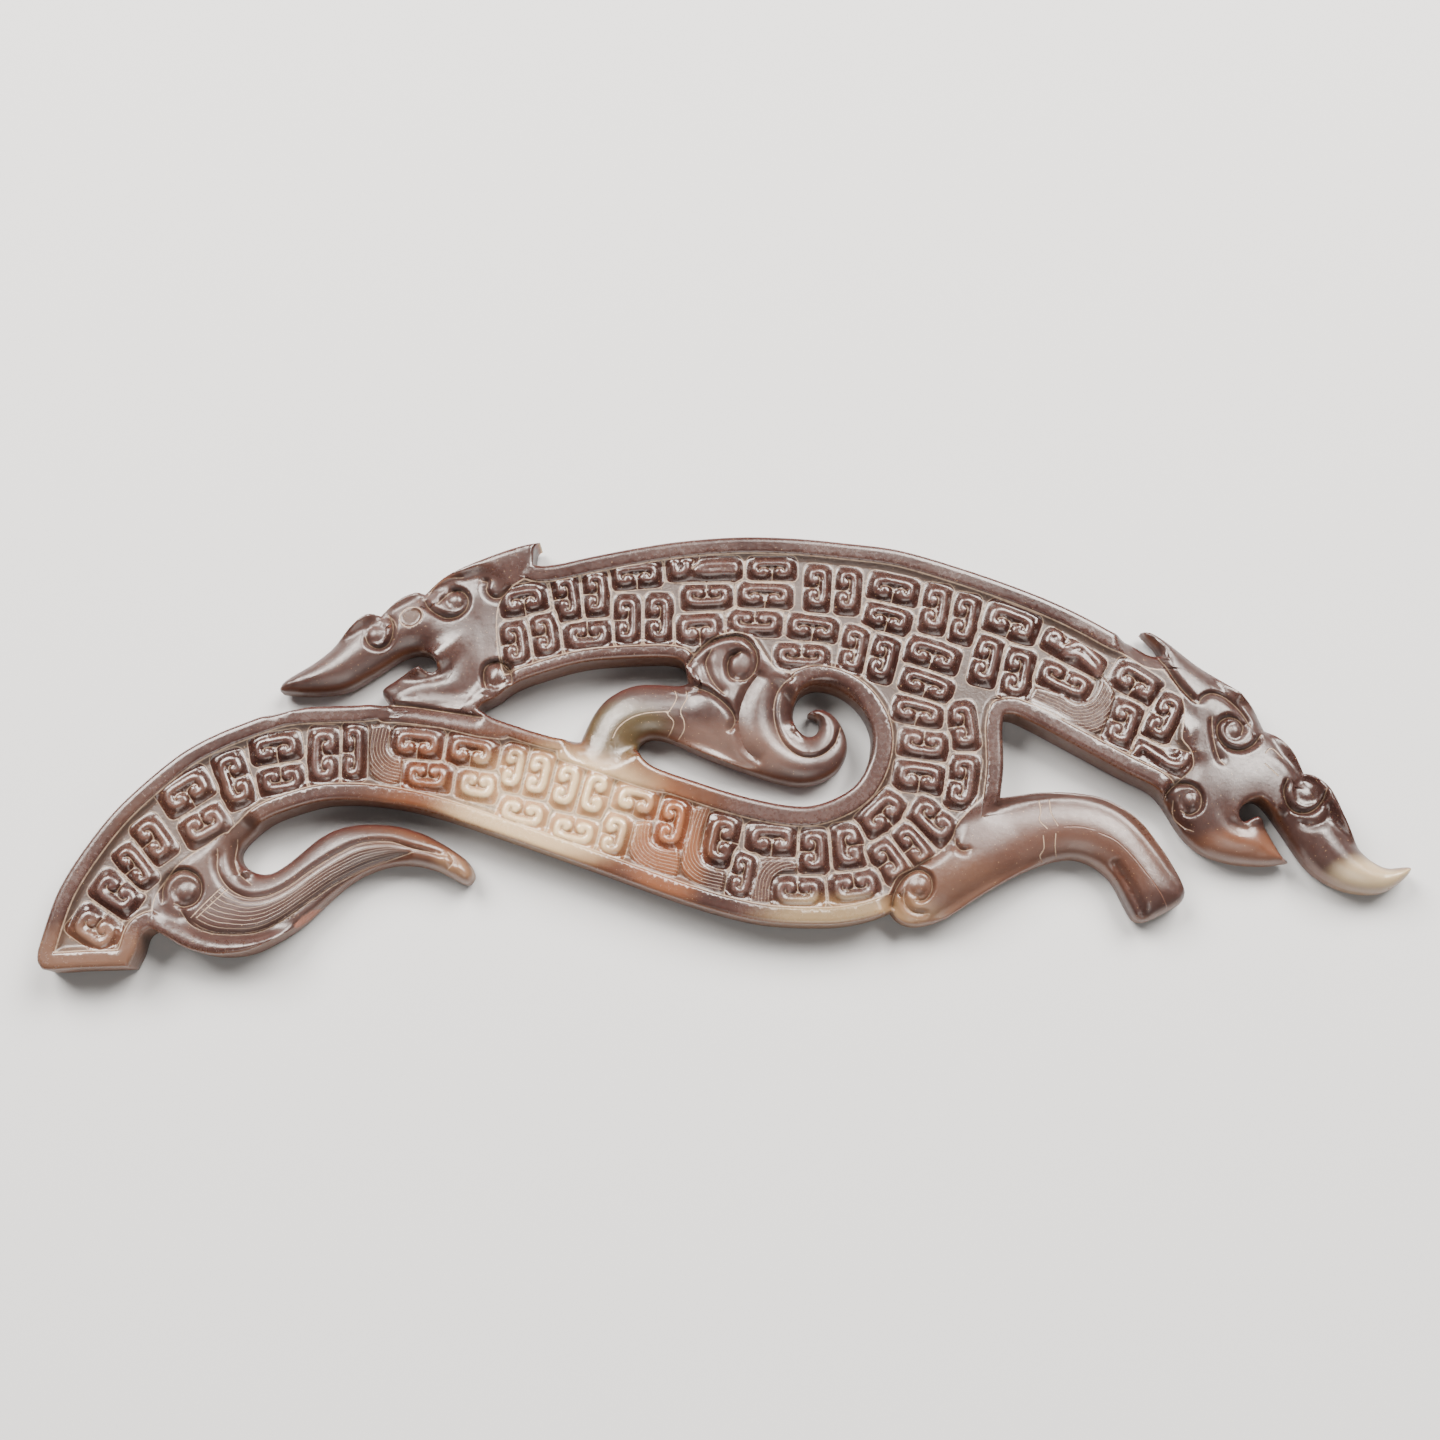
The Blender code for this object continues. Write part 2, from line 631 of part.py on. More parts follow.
class Net:
    """Plan points and the lines between them that the facets follow."""

    def __init__(self):
        self.points = []
        self.lines = []

    def add(self, points, closed=False, joined=True):
        """Add a chain of points and return its indices."""
        first = len(self.points)
        self.points += [tuple(point) for point in points]
        indices = list(range(first, len(self.points)))
        if joined:
            self.lines += list(zip(indices[:-1], indices[1:]))
            if closed:
                self.lines.append((indices[-1], indices[0]))
        return indices

    def facets(self, loops):
        """Triangulate and keep what lies on the plate."""
        places, _, triangles, _, _, _ = delaunay_2d_cdt(
            self.points, self.lines, [], 0, 1e-5)
        places = np.array([tuple(place) for place in places])
        triangles = np.array([list(face) for face in triangles])
        centres = places[triangles].mean(axis=1)
        on_plate = inside(centres, loops[0])
        for hole in loops[1:]:
            on_plate &= ~inside(centres, hole)
        return places, triangles[on_plate]


def inward(loop, inset):
    """Each point of a loop moved into the material by its own inset."""
    before = loop - np.roll(loop, 1, axis=0)
    after = np.roll(loop, -1, axis=0) - loop
    before /= np.linalg.norm(before, axis=1)[:, None]
    after /= np.linalg.norm(after, axis=1)[:, None]
    tangent = before + after
    size = np.linalg.norm(tangent, axis=1)
    tangent /= np.maximum(size, 1e-6)[:, None]
    normal = np.column_stack([-tangent[:, 1], tangent[:, 0]])
    stretch = 1 / np.maximum(size / 2, 0.6)
    return loop + normal * (inset * stretch)[:, None]


def add_ring(net, relief, loop, inset):
    """Add an inner ring where the plate is wide enough to hold it."""
    inset = np.broadcast_to(inset, (len(loop),)).astype(float)
    ring = inward(loop, inset)
    clear = on_plate(ring, relief, 0.9 * inset)
    places = {}
    for index in np.flatnonzero(clear):
        places[index] = len(net.points)
        net.points.append(tuple(ring[index]))
    for index in places:
        after = (index + 1) % len(loop)
        if after in places:
            net.lines.append((places[index], places[after]))


def carved_net(relief):
    """Net of the carved face: its outline and the rings inside it."""
    net = Net()
    for loop in relief.loops:
        net.add(loop, closed=True)
    borders = (BORDER, WINDOW_BORDER, SPIRAL_BORDER)
    for loop, border in zip(relief.loops, borders):
        weight = limb_weight(loop)
        on_body = (0.45 * EDGE_RADIUS, border - STEP_WIDTH, border)
        on_limb = (0.20 * LIMB_RADIUS, 0.55 * LIMB_RADIUS, LIMB_RADIUS)
        for body_inset, limb_inset in zip(on_body, on_limb):
            inset = body_inset + (limb_inset - body_inset) * weight
            add_ring(net, relief, loop, in_mm(inset))
    return net


def add_carving(net, relief):
    """Add the lines of the scrolls, curls and grooves to the net."""
    for foot, shoulder, crown in relief.scrolls:
        net.add(foot, closed=True)
        net.add(shoulder, closed=True)
        net.add(crown)
    for cut in relief.cuts:
        net.add(cut, closed=True)
        net.add(inward(cut, np.full(len(cut), in_mm(0.5 * LIMB_STEP_WIDTH))),
                closed=True)
    for x, y, knob, ring, _ in CURLS.values():
        centre = on_face([(x, y)])[0]
        net.add([centre])
        for radius in (knob, ring, 2 * ring - knob):
            net.add(circle(centre, radius * UNIT_MM, CURL_SIDES), closed=True)
    for path, width, _ in GROOVES.values():
        spine = on_face(smooth_run(path, 22))
        net.add(spine)
        along = np.gradient(spine, axis=0)
        along /= np.linalg.norm(along, axis=1)[:, None]
        normal = np.column_stack([-along[:, 1], along[:, 0]])
        for side in (-1, 1):
            net.add(spine + side * width * UNIT_MM * normal)
    for x, y, turn, length, width in EYES.values():
        centre = on_face([(x, y)])[0]
        for scale in (1 - EYE_GROOVE_SHARE, 1.0, 1 + EYE_GROOVE_SHARE):
            c, s = math.cos(math.radians(turn)), math.sin(math.radians(turn))
            box = [(-1, -0.5), (-1, 0.5), (-0.5, 1), (0.5, 1),
                   (1, 0.5), (1, -0.5), (0.5, -1), (-0.5, -1)]
            half = (length * UNIT_MM * scale / 2, width * UNIT_MM * scale / 2)
            net.add([centre + (u * half[0] * c - v * half[1] * s,
                               u * half[0] * s + v * half[1] * c)
                     for u, v in box], closed=True)


def on_plate(points, relief, margin):
    """Whether points lie on the plate and off its edge by the margin."""
    clear = relief.edge(points) > margin
    clear &= inside(points, relief.loops[0])
    for hole in relief.loops[1:]:
        clear &= ~inside(points, hole)
    return clear


def drop_strays(net, relief):
    """Leave out carving points and lines that would leave the plate."""
    points = np.array(net.points)
    fixed = sum(len(loop) for loop in relief.loops)
    clear = on_plate(points, relief, in_mm(POINT_CLEARANCE))
    clear[:fixed] = True
    lines = np.array(net.lines)
    sound = np.ones(len(lines), bool)
    for share in (0.25, 0.5, 0.75):
        between = points[lines[:, 0]] * (1 - share) + points[lines[:, 1]] * share
        sound &= on_plate(between, relief, in_mm(LINE_CLEARANCE))
    sound |= lines.max(axis=1) < fixed
    kept = np.flatnonzero(clear)
    renumber = {old: new for new, old in enumerate(kept)}
    net.points = [net.points[i] for i in kept]
    net.lines = [(renumber[a], renumber[b]) for a, b in lines[sound]
                 if a in renumber and b in renumber]


def limb_infill(net, relief):
    """Add an even lattice of points so that the members round smoothly."""
    spacing = in_mm(LIMB_FACET)
    low = relief.loops[0].min(axis=0)
    high = relief.loops[0].max(axis=0)
    columns = np.arange(low[0], high[0], spacing)
    rows = np.arange(low[1], high[1], spacing * math.sqrt(0.75))
    x, y = np.meshgrid(columns, rows)
    x[1::2] += spacing / 2
    lattice = np.column_stack([x.ravel(), y.ravel()])
    lattice = lattice[limb_weight(lattice) > 0.5]
    lattice = lattice[on_plate(lattice, relief, in_mm(LATTICE_CLEARANCE))]
    taken = np.array(net.points)
    gap = distance_to_lines(lattice, taken, taken)
    net.add(lattice[gap > 0.45 * spacing], joined=False)


def build_plate(group):
    """Make the carved plate as one closed mesh."""
    loops = []
    for runs, outer in ((OUTLINE_RUNS, True), (WINDOW_RUNS, False), (SPIRAL_RUNS, False)):
        plan, corners = plan_loop(runs, outer)
        loops.append(plan[thin_out(plan, corners)])
    low = np.vstack(loops).min(axis=0)
    high = np.vstack(loops).max(axis=0)
    relief = Relief(loops)

    net = carved_net(relief)
    add_carving(net, relief)
    limb_infill(net, relief)
    drop_strays(net, relief)
    face_places, face_triangles = net.facets(loops)
    face_heights = relief.height(face_places)

    back = Net()
    for loop in loops:
        back.add(loop, closed=True)
    for loop in loops:
        add_ring(back, relief, loop, relief.back_bevel(loop))
    drop_strays(back, relief)
    back_places, back_triangles = back.facets(loops)
    bevel = relief.back_bevel(back_places)
    back_heights = bevel * (1 - np.clip(relief.edge(back_places) / bevel, 0, 1))

    count = sum(len(loop) for loop in loops)
    face_heights[:count] = relief.rim(face_places[:count])
    stretch = in_mm(LENGTH) / (high[0] - low[0])
    centre = (low + high) / 2
    face = np.column_stack([(face_places - centre) * stretch, face_heights])
    rear = np.column_stack([(back_places - centre) * stretch, back_heights])
    vertices = np.vstack([face, rear]) * MM
    shift = len(face)
    faces = [tuple(triangle) for triangle in face_triangles]
    faces += [tuple(index + shift for index in reversed(triangle))
              for triangle in back_triangles]
    first = 0
    for loop in loops:
        for i in range(len(loop)):
            a = first + i
            b = first + (i + 1) % len(loop)
            faces.append((b, a, a + shift))
            faces.append((b, a + shift, b + shift))
        first += len(loop)

    mesh = bpy.data.meshes.new("jade_pendant")
    mesh.from_pydata([tuple(map(float, vertex)) for vertex in vertices], [],
                     [tuple(map(int, face)) for face in faces])
    mesh.validate()
    mesh.update()
    plate = bpy.data.objects.new("jade_pendant", mesh)
    group.objects.link(plate)
    plate.data.materials.append(jade())
    return plate


def jade():
    """Mauve-brown polished stone."""
    stone = bpy.data.materials.new("jade")
    stone.use_nodes = True
    surface = stone.node_tree.nodes["Principled BSDF"]
    surface.inputs["Base Color"].default_value = (0.30, 0.17, 0.14, 1.0)
    surface.inputs["Roughness"].default_value = 0.22
    surface.inputs["Metallic"].default_value = 0.0
    return stone


pendant = build_plate(start_clean())
print("triangles", len(pendant.data.polygons), "size", tuple(pendant.dimensions))
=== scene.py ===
# %% [markdown]
# # An arc pendant of mauve jade, cell by cell
#
# The pendant is one flat plate of stone, sawn to an outline with two openings,
# then carved on one side. This lesson starts from the plain solid, redraws its
# skin finely enough to hold the carving, cuts the carving into that skin, and
# gives it a polish and the colours of the stone. We begin by loading the solid.
# Nothing that follows may make the part bigger.

# %% Load the solid
import json
import math

import bmesh
import bpy
import numpy as np
from mathutils import Matrix, Vector
from mathutils.geometry import delaunay_2d_cdt
from mathutils.kdtree import KDTree

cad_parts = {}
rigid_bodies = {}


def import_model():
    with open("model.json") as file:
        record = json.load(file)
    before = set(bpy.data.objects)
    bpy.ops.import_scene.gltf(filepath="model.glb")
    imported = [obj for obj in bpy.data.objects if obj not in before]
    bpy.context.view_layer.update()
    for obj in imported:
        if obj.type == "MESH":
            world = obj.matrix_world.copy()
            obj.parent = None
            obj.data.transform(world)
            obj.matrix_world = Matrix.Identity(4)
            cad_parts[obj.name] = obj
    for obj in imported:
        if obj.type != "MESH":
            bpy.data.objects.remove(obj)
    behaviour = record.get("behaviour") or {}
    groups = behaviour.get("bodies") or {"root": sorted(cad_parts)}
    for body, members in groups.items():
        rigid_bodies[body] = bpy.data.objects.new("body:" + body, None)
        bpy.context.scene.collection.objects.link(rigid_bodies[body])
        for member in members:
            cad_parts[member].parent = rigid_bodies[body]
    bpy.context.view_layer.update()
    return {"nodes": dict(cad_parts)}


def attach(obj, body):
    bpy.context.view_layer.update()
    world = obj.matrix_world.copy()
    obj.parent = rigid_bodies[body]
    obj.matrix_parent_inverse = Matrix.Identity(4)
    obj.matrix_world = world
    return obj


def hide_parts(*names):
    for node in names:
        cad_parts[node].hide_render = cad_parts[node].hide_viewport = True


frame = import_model()
solid_plate = frame["nodes"]["jade_pendant"]

# %% [markdown]
# ## From the drawing to the stone
#
# The carving was drawn on a square sheet 1440 units wide, seen by an eye that
# leans back by ten degrees. A sight line through a drawn point meets the plate
# at one place, so each mark can be laid on the stone by following its line.
# From here on plan sizes are in millimetres, which keeps the numbers readable.

# %% Lay drawn points on the stone
SHEET = 1440.0
SIGHT = 2300.0
LEAN = math.radians(10.0)
EYE = (-0.9811, -37.3649, 233.6200)
THICKNESS = 5.0


def on_stone(drawn, height=THICKNESS):
    """Plan millimetres of drawn points on the stone at a height."""
    drawn = np.atleast_2d(np.asarray(drawn, float))
    side = (drawn[:, 0] - SHEET / 2) / SIGHT
    rise = (SHEET / 2 - drawn[:, 1]) / SIGHT
    ahead = math.sin(LEAN) + rise * math.cos(LEAN)
    down = math.cos(LEAN) - rise * math.sin(LEAN)
    reach = (EYE[2] - height) / down
    return np.column_stack([EYE[0] + reach * side, EYE[1] + reach * ahead])


UNIT = float(np.ptp(on_stone([(720, 720), (820, 720)])[:, 0])) / 100
print("one drawn unit is", round(UNIT, 4), "mm")

# %% [markdown]
# ## Smooth lines through a few points
#
# A carver's line is smooth between its corners. A Catmull-Rom curve passes
# through every given point, so a few well chosen points are enough and the
# line never leaves them. A small class then measures from such a line: how far
# a place is from it, on which side, and how far along.

# %% Draw and measure lines
TINY = 1e-9


def smooth_line(points, step):
    """Evenly sample a smooth open curve through the points."""
    knots = np.asarray(points, float)
    padded = np.vstack([2 * knots[0] - knots[1], knots, 2 * knots[-1] - knots[-2]])
    pieces = [knots[:1]]
    for i in range(len(knots) - 1):
        a, b, c, d = padded[i:i + 4]
        count = max(1, int(round(np.linalg.norm(c - b) / step)))
        t0 = 0.0
        t1 = t0 + math.sqrt(np.linalg.norm(b - a))
        t2 = t1 + math.sqrt(np.linalg.norm(c - b))
        t3 = t2 + math.sqrt(np.linalg.norm(d - c))
        t = np.linspace(t1, t2, count + 1)[1:, None]
        ab = (t1 - t) / (t1 - t0) * a + (t - t0) / (t1 - t0) * b
        bc = (t2 - t) / (t2 - t1) * b + (t - t1) / (t2 - t1) * c
        cd = (t3 - t) / (t3 - t2) * c + (t - t2) / (t3 - t2) * d
        abc = (t2 - t) / (t2 - t0) * ab + (t - t0) / (t2 - t0) * bc
        bcd = (t3 - t) / (t3 - t1) * bc + (t - t1) / (t3 - t1) * cd
        pieces.append((t2 - t) / (t2 - t1) * abc + (t - t1) / (t2 - t1) * bcd)
    return np.vstack(pieces)


def smoothstep(value):
    """Ease from 0 to 1."""
    t = np.clip(value, 0.0, 1.0)
    return t * t * (3 - 2 * t)


def dome(value):
    """Quarter round from 0 at the edge to 1 where the top begins."""
    t = np.clip(value, 0.0, 1.0)
    return np.sqrt(1 - (1 - t) ** 2)


class Trace:
    """A line on the stone, open or closed, that places are measured from."""

    def __init__(self, points, closed=False):
        self.points = np.asarray(points, float)
        self.closed = closed
        ends = np.roll(self.points, -1, axis=0)
        self.starts = self.points if closed else self.points[:-1]
        self.ends = ends if closed else ends[:-1]
        lengths = np.linalg.norm(self.ends - self.starts, axis=1)
        self.passed = np.concatenate([[0.0], np.cumsum(lengths)])
        self.tree = KDTree(len(self.points))
        for index, (x, y) in enumerate(self.points):
            self.tree.insert((x, y, 0.0), index)
        self.tree.balance()

    def measure(self, places):
        """Distance, side (+1 is left) and length passed for each place."""
        nearest = np.array([self.tree.find((x, y, 0.0))[1] for x, y in places], int)
        count = len(self.starts)
        best = np.full(len(places), np.inf)
        side = np.ones(len(places))
        along = np.zeros(len(places))
        for shift in (-1, 0):
            index = nearest + shift
            index = index % count if self.closed else np.clip(index, 0, count - 1)
            run = self.ends[index] - self.starts[index]
            offset = places - self.starts[index]
            length = np.maximum((run ** 2).sum(axis=1), 1e-12)
            t = np.clip((offset * run).sum(axis=1) / length, 0, 1)
            gap = np.linalg.norm(offset - t[:, None] * run, axis=1)
            cross = run[:, 0] * offset[:, 1] - run[:, 1] * offset[:, 0]
            closer = gap < best - TINY
            best = np.where(closer, gap, best)
            side = np.where(closer, np.sign(cross), side)
            passed = self.passed[index] + t * np.sqrt(length)
            along = np.where(closer, passed, along)
        return best, side, along


def inside(places, loop):
    """Whether each place lies in the closed loop."""
    crossings = np.zeros(len(places), int)
    x, y = places[:, 0], places[:, 1]
    for (ax, ay), (bx, by) in zip(loop, np.roll(loop, -1, axis=0)):
        if ay == by:
            continue
        spans = (ay > y) != (by > y)
        crossings += spans & (x < (bx - ax) * (y - ay) / (by - ay) + ax)
    return crossings % 2 == 1


print("line tools ready")

# %% [markdown]
# ## The sawn outline
#
# The saw's outline is already in the solid. Cutting a copy of its mesh halfway
# up gives the outline and the two openings as loops. The loops are smoothed
# between the corners that the saw left, so round stretches turn truly round.

# %% Take the outline from the solid
CORNERS = [(389, 705), (419, 667), (381, 616), (425, 594), (542, 549), (536, 571),
           (1157, 659), (1265, 730), (1303, 774), (1288, 863), (1001, 720),
           (1000, 798), (889, 915), (158, 931), (140, 970), (39, 950),
           (481, 714), (688, 686), (580, 741), (637, 753)]
SAW_STEP = 0.27
STRAIGHT_TURN = 0.03
CORNER_REACH = 0.8
MERGE_METRES = 1e-6


def waist_loops(piece, height):
    """Chain the cut through a copy of the piece into loops, in millimetres."""
    cut = bmesh.new()
    cut.from_mesh(piece.data)
    bmesh.ops.remove_doubles(cut, verts=cut.verts, dist=MERGE_METRES)
    parts = cut.verts[:] + cut.edges[:] + cut.faces[:]
    found = bmesh.ops.bisect_plane(cut, geom=parts, plane_co=(0, 0, height / 1000),
                                   plane_no=(0, 0, 1))
    beside = {}
    for edge in found["geom_cut"]:
        if isinstance(edge, bmesh.types.BMEdge):
            a, b = edge.verts
            beside.setdefault(a, []).append(b)
            beside.setdefault(b, []).append(a)
    loops = []
    while beside:
        here = next(iter(beside))
        loop = []
        while here in beside:
            loop.append((1000 * here.co.x, 1000 * here.co.y))
            following = [vertex for vertex in beside.pop(here) if vertex in beside]
            here = following[0] if following else None
        loops.append(np.array(loop))
    cut.free()
    return loops


def loop_area(loop):
    """Signed area of a loop, positive when it runs anticlockwise."""
    after = np.roll(loop, -1, axis=0)
    return (loop[:, 0] * after[:, 1] - after[:, 0] * loop[:, 1]).sum() / 2


def turns(loop):
    """Turn of the loop at each point, in degrees."""
    before = loop - np.roll(loop, 1, axis=0)
    after = np.roll(loop, -1, axis=0) - loop
    cross = before[:, 0] * after[:, 1] - before[:, 1] * after[:, 0]
    return np.degrees(np.abs(np.arctan2(cross, (before * after).sum(axis=1))))


def resawn(loop, corner_places):
    """The loop with smooth stretches between its corners."""
    loop = loop[turns(loop) > STRAIGHT_TURN]
    marks = set()
    for place in corner_places:
        gap = np.linalg.norm(loop - place, axis=1)
        if gap.min() < CORNER_REACH:
            marks.add(int(gap.argmin()))
    marks = sorted(marks) or [0]
    stretches = []
    for first, last in zip(marks, marks[1:] + [marks[0] + len(loop)]):
        run = loop[np.arange(first, last + 1) % len(loop)]
        stretches.append(smooth_line(run, SAW_STEP)[:-1])
    return np.vstack(stretches)


loops = sorted(waist_loops(solid_plate, THICKNESS / 2), key=lambda l: -abs(loop_area(l)))
corner_places = on_stone(CORNERS, THICKNESS / 2)
for number, loop in enumerate(loops):
    wanted = 1 if number == 0 else -1
    if loop_area(loop) * wanted < 0:
        loop = loop[::-1]
    loops[number] = resawn(loop, corner_places)
window_first = inside(on_stone([(545, 708)]), loops[1])[0]
if not window_first:
    loops[1], loops[2] = loops[2], loops[1]
edges = [Trace(loop, closed=True) for loop in loops]
print("outline points", [len(loop) for loop in loops])

# %% [markdown]
# ## Rounded members and the sunk field
#
# The heads, legs and tail are rounded over, while the arc between them stays
# flat with a plain border round a sunk field of scrolls. Spines tell where the
# stone belongs to a rounded member, and each has its reach in drawn units.
# Closed lines round each member tell where the field stops, and how wide a
# slope in millimetres leads down to it there. The arc's rim under the left head
# lies within reach of the jaw's spine, so a line of its own keeps it flat.

# %% Mark members and field
LIMB_SPINES = {
    "left head": ([(285, 688), (350, 660), (430, 615), (480, 600)], 38),
    "left jaw": ([(390, 692), (440, 690), (480, 650), (485, 610)], 28),
    "right horn": ([(1150, 640), (1200, 690), (1235, 735)], 36),
    "right head": ([(1235, 735), (1270, 790), (1320, 855), (1360, 880),
                    (1410, 870)], 48),
    "right jaw": ([(1215, 780), (1195, 820), (1230, 850), (1280, 860)], 40),
    "hind leg": ([(920, 890), (985, 850), (1040, 830), (1100, 835),
                  (1160, 905)], 44),
    "foreleg": ([(600, 735), (640, 710), (700, 715), (760, 740),
                 (800, 765), (835, 745), (825, 715)], 40),
    "shoulder": ([(720, 665), (755, 690), (775, 710)], 32),
    "tail hook": ([(185, 890), (225, 905), (280, 895), (350, 850),
                   (420, 848), (470, 880)], 42),
    "tail root": ([(185, 890), (212, 862), (232, 842)], 36),
}
FIELD_CUTS = {
    "left head": ([(548, 566), (520, 580), (504, 592), (497, 606),
                   (496, 640), (501, 668), (512, 700), (440, 704),
                   (270, 706), (260, 670), (420, 570), (530, 535)], 2.2),
    "left jaw on the arc": ([(372, 712), (380, 720.5), (400, 722), (439, 727),
                             (484, 736.5), (508, 736), (496, 700),
                             (430, 690), (380, 697)], 0.3),
    "right head": ([(1152, 655), (1170, 675), (1182, 692), (1186, 708),
                    (1184, 726), (1183, 738), (1192, 750), (1195, 765),
                    (1180, 781), (1158, 805), (1220, 890), (1300, 890), (1440, 910),
                    (1440, 830), (1260, 680), (1140, 610)], 1.3),
    "haunch": ([(990, 792), (970, 810), (958, 824), (953, 838),
                (940, 852), (915, 867), (899, 876), (891, 890),
                (884, 908), (890, 950), (1100, 960), (1220, 900),
                (1150, 790), (1060, 770)], 1.0),
    "foreleg": ([(686, 688), (688, 664), (700, 648), (715, 637),
                 (735, 632), (752, 637), (764, 654), (775, 668),
                 (797, 675), (815, 692), (850, 715), (864, 750),
                 (852, 780), (815, 797), (765, 791), (700, 772),
                 (640, 752), (590, 745), (590, 700), (630, 678)], 0.8),
    "foot on the arc": ([(558, 748), (558, 757), (585, 767), (613, 777),
                         (658, 791), (676, 790), (645, 757), (600, 738)], 0.3),
    "tail root": ([(156, 936), (152, 905), (163, 880), (182, 860),
                   (205, 845), (228, 832), (250, 850), (310, 834),
                   (370, 815), (440, 832), (500, 870), (480, 900),
                   (310, 970), (200, 975)], 0.8),
}
FLAT_RIM = [(200, 800), (228, 738), (262, 714), (300, 702), (345, 696),
            (378, 700), (417, 705), (444, 709.5), (484, 716), (516, 724),
            (540, 745), (480, 752), (380, 742), (310, 750), (240, 800)]
SPINE_STEP = 6
LINE_STEP = 5


spines = [(Trace(on_stone(smooth_line(path, SPINE_STEP))), reach)
          for path, reach in LIMB_SPINES.values()]
flat_rim = Trace(on_stone(smooth_line(FLAT_RIM + FLAT_RIM[:1], LINE_STEP)[:-1]),
                 closed=True)
field_cuts = [(Trace(on_stone(smooth_line(cut + cut[:1], LINE_STEP)[:-1]), closed=True),
               slope) for cut, slope in FIELD_CUTS.values()]
print("members", len(spines), "field limits", len(field_cuts))

# %% [markdown]
# ## How near each place is to an edge
#
# Rounding needs the distance to the nearest edge. A plain distance has a sharp
# ridge halfway between two edges, which would shine as a line on a polished
# leg. Adding up all the edges, each weighed by a high power of its distance,
# gives nearly the same value without that ridge. The field has a limit at its
# border and one at each member.

# %% Measure from edges and limits
LIMB_BLEND = 16
FLAT_BLEND = 0.8
BORDERS = (1.7, 1.3, 2.0)
BORDER_SLOPE = 0.15
EASE = 6
EASE_SUM = 3 * math.pi / 8
EASE_FROM = 0.15
EASE_OVER = 0.30
NEVER_ZERO = 1e-4
ROWS_AT_ONCE = 3000


def limb_weight(places):
    """How far each place belongs to a rounded member, 0 to 1."""
    weight = np.zeros(len(places))
    for spine, reach in spines:
        near = spine.measure(places)[0] / UNIT
        weight = np.maximum(weight, smoothstep((reach - near) / LIMB_BLEND))
    within = inside(places, flat_rim.points)
    gap = flat_rim.measure(places[within])[0]
    weight[within] *= 1 - smoothstep(gap / FLAT_BLEND)
    return weight


def edge_gap(places):
    """Distance to the plate's own edge."""
    return np.min([edge.measure(places)[0] for edge in edges], axis=0)


def soft_gap(places):
    """Distance to the edge, eased where two sides of a member are equally near."""
    total = np.zeros(len(places))
    for loop in loops:
        after = np.roll(loop, -1, axis=0)
        lengths = np.linalg.norm(after - loop, axis=1)
        middle = (loop + after) / 2
        for first in range(0, len(places), ROWS_AT_ONCE):
            rows = slice(first, first + ROWS_AT_ONCE)
            square = ((places[rows, None, :] - middle) ** 2).sum(axis=2) + NEVER_ZERO
            total[rows] += (lengths / square ** (EASE // 2)).sum(axis=1)
    eased = (total / EASE_SUM) ** (-1 / (EASE - 1))
    plain = edge_gap(places)
    return plain + (eased - plain) * smoothstep((plain - EASE_FROM) / EASE_OVER)


def field_limits(places):
    """Distance into the sunk field, and the width of the slope beside it."""
    depth = np.full(len(places), np.inf)
    beside = np.full(len(places), BORDER_SLOPE)
    for edge, border in zip(edges, BORDERS):
        depth = np.minimum(depth, edge.measure(places)[0] - border)
    for cut, slope in field_cuts:
        gap = cut.measure(places)[0]
        gap = np.where(inside(places, cut.points), -gap, gap)
        beside = np.where(gap < depth, slope, beside)
        depth = np.minimum(depth, gap)
    return depth, beside


def field_depth(places):
    """Distance into the sunk field, negative outside it."""
    return field_limits(places)[0]


sample = on_stone([(1100, 835), (945, 720)])
print("member share", limb_weight(sample), "field depth", np.round(field_depth(sample), 2))

# %% [markdown]
# ## Where each scroll sits
#
# The field is packed with small C-scrolls. Each one is given by its place, the
# way its back faces in degrees, its length and its width. The points that hold
# these values are all that Geometry Nodes needs to lay out the pattern. Each
# scroll rises from a cell with rounded corners, and the ridges of ground that
# stay between the cells meet like a net. Three odd cells hold strokes of their
# own.

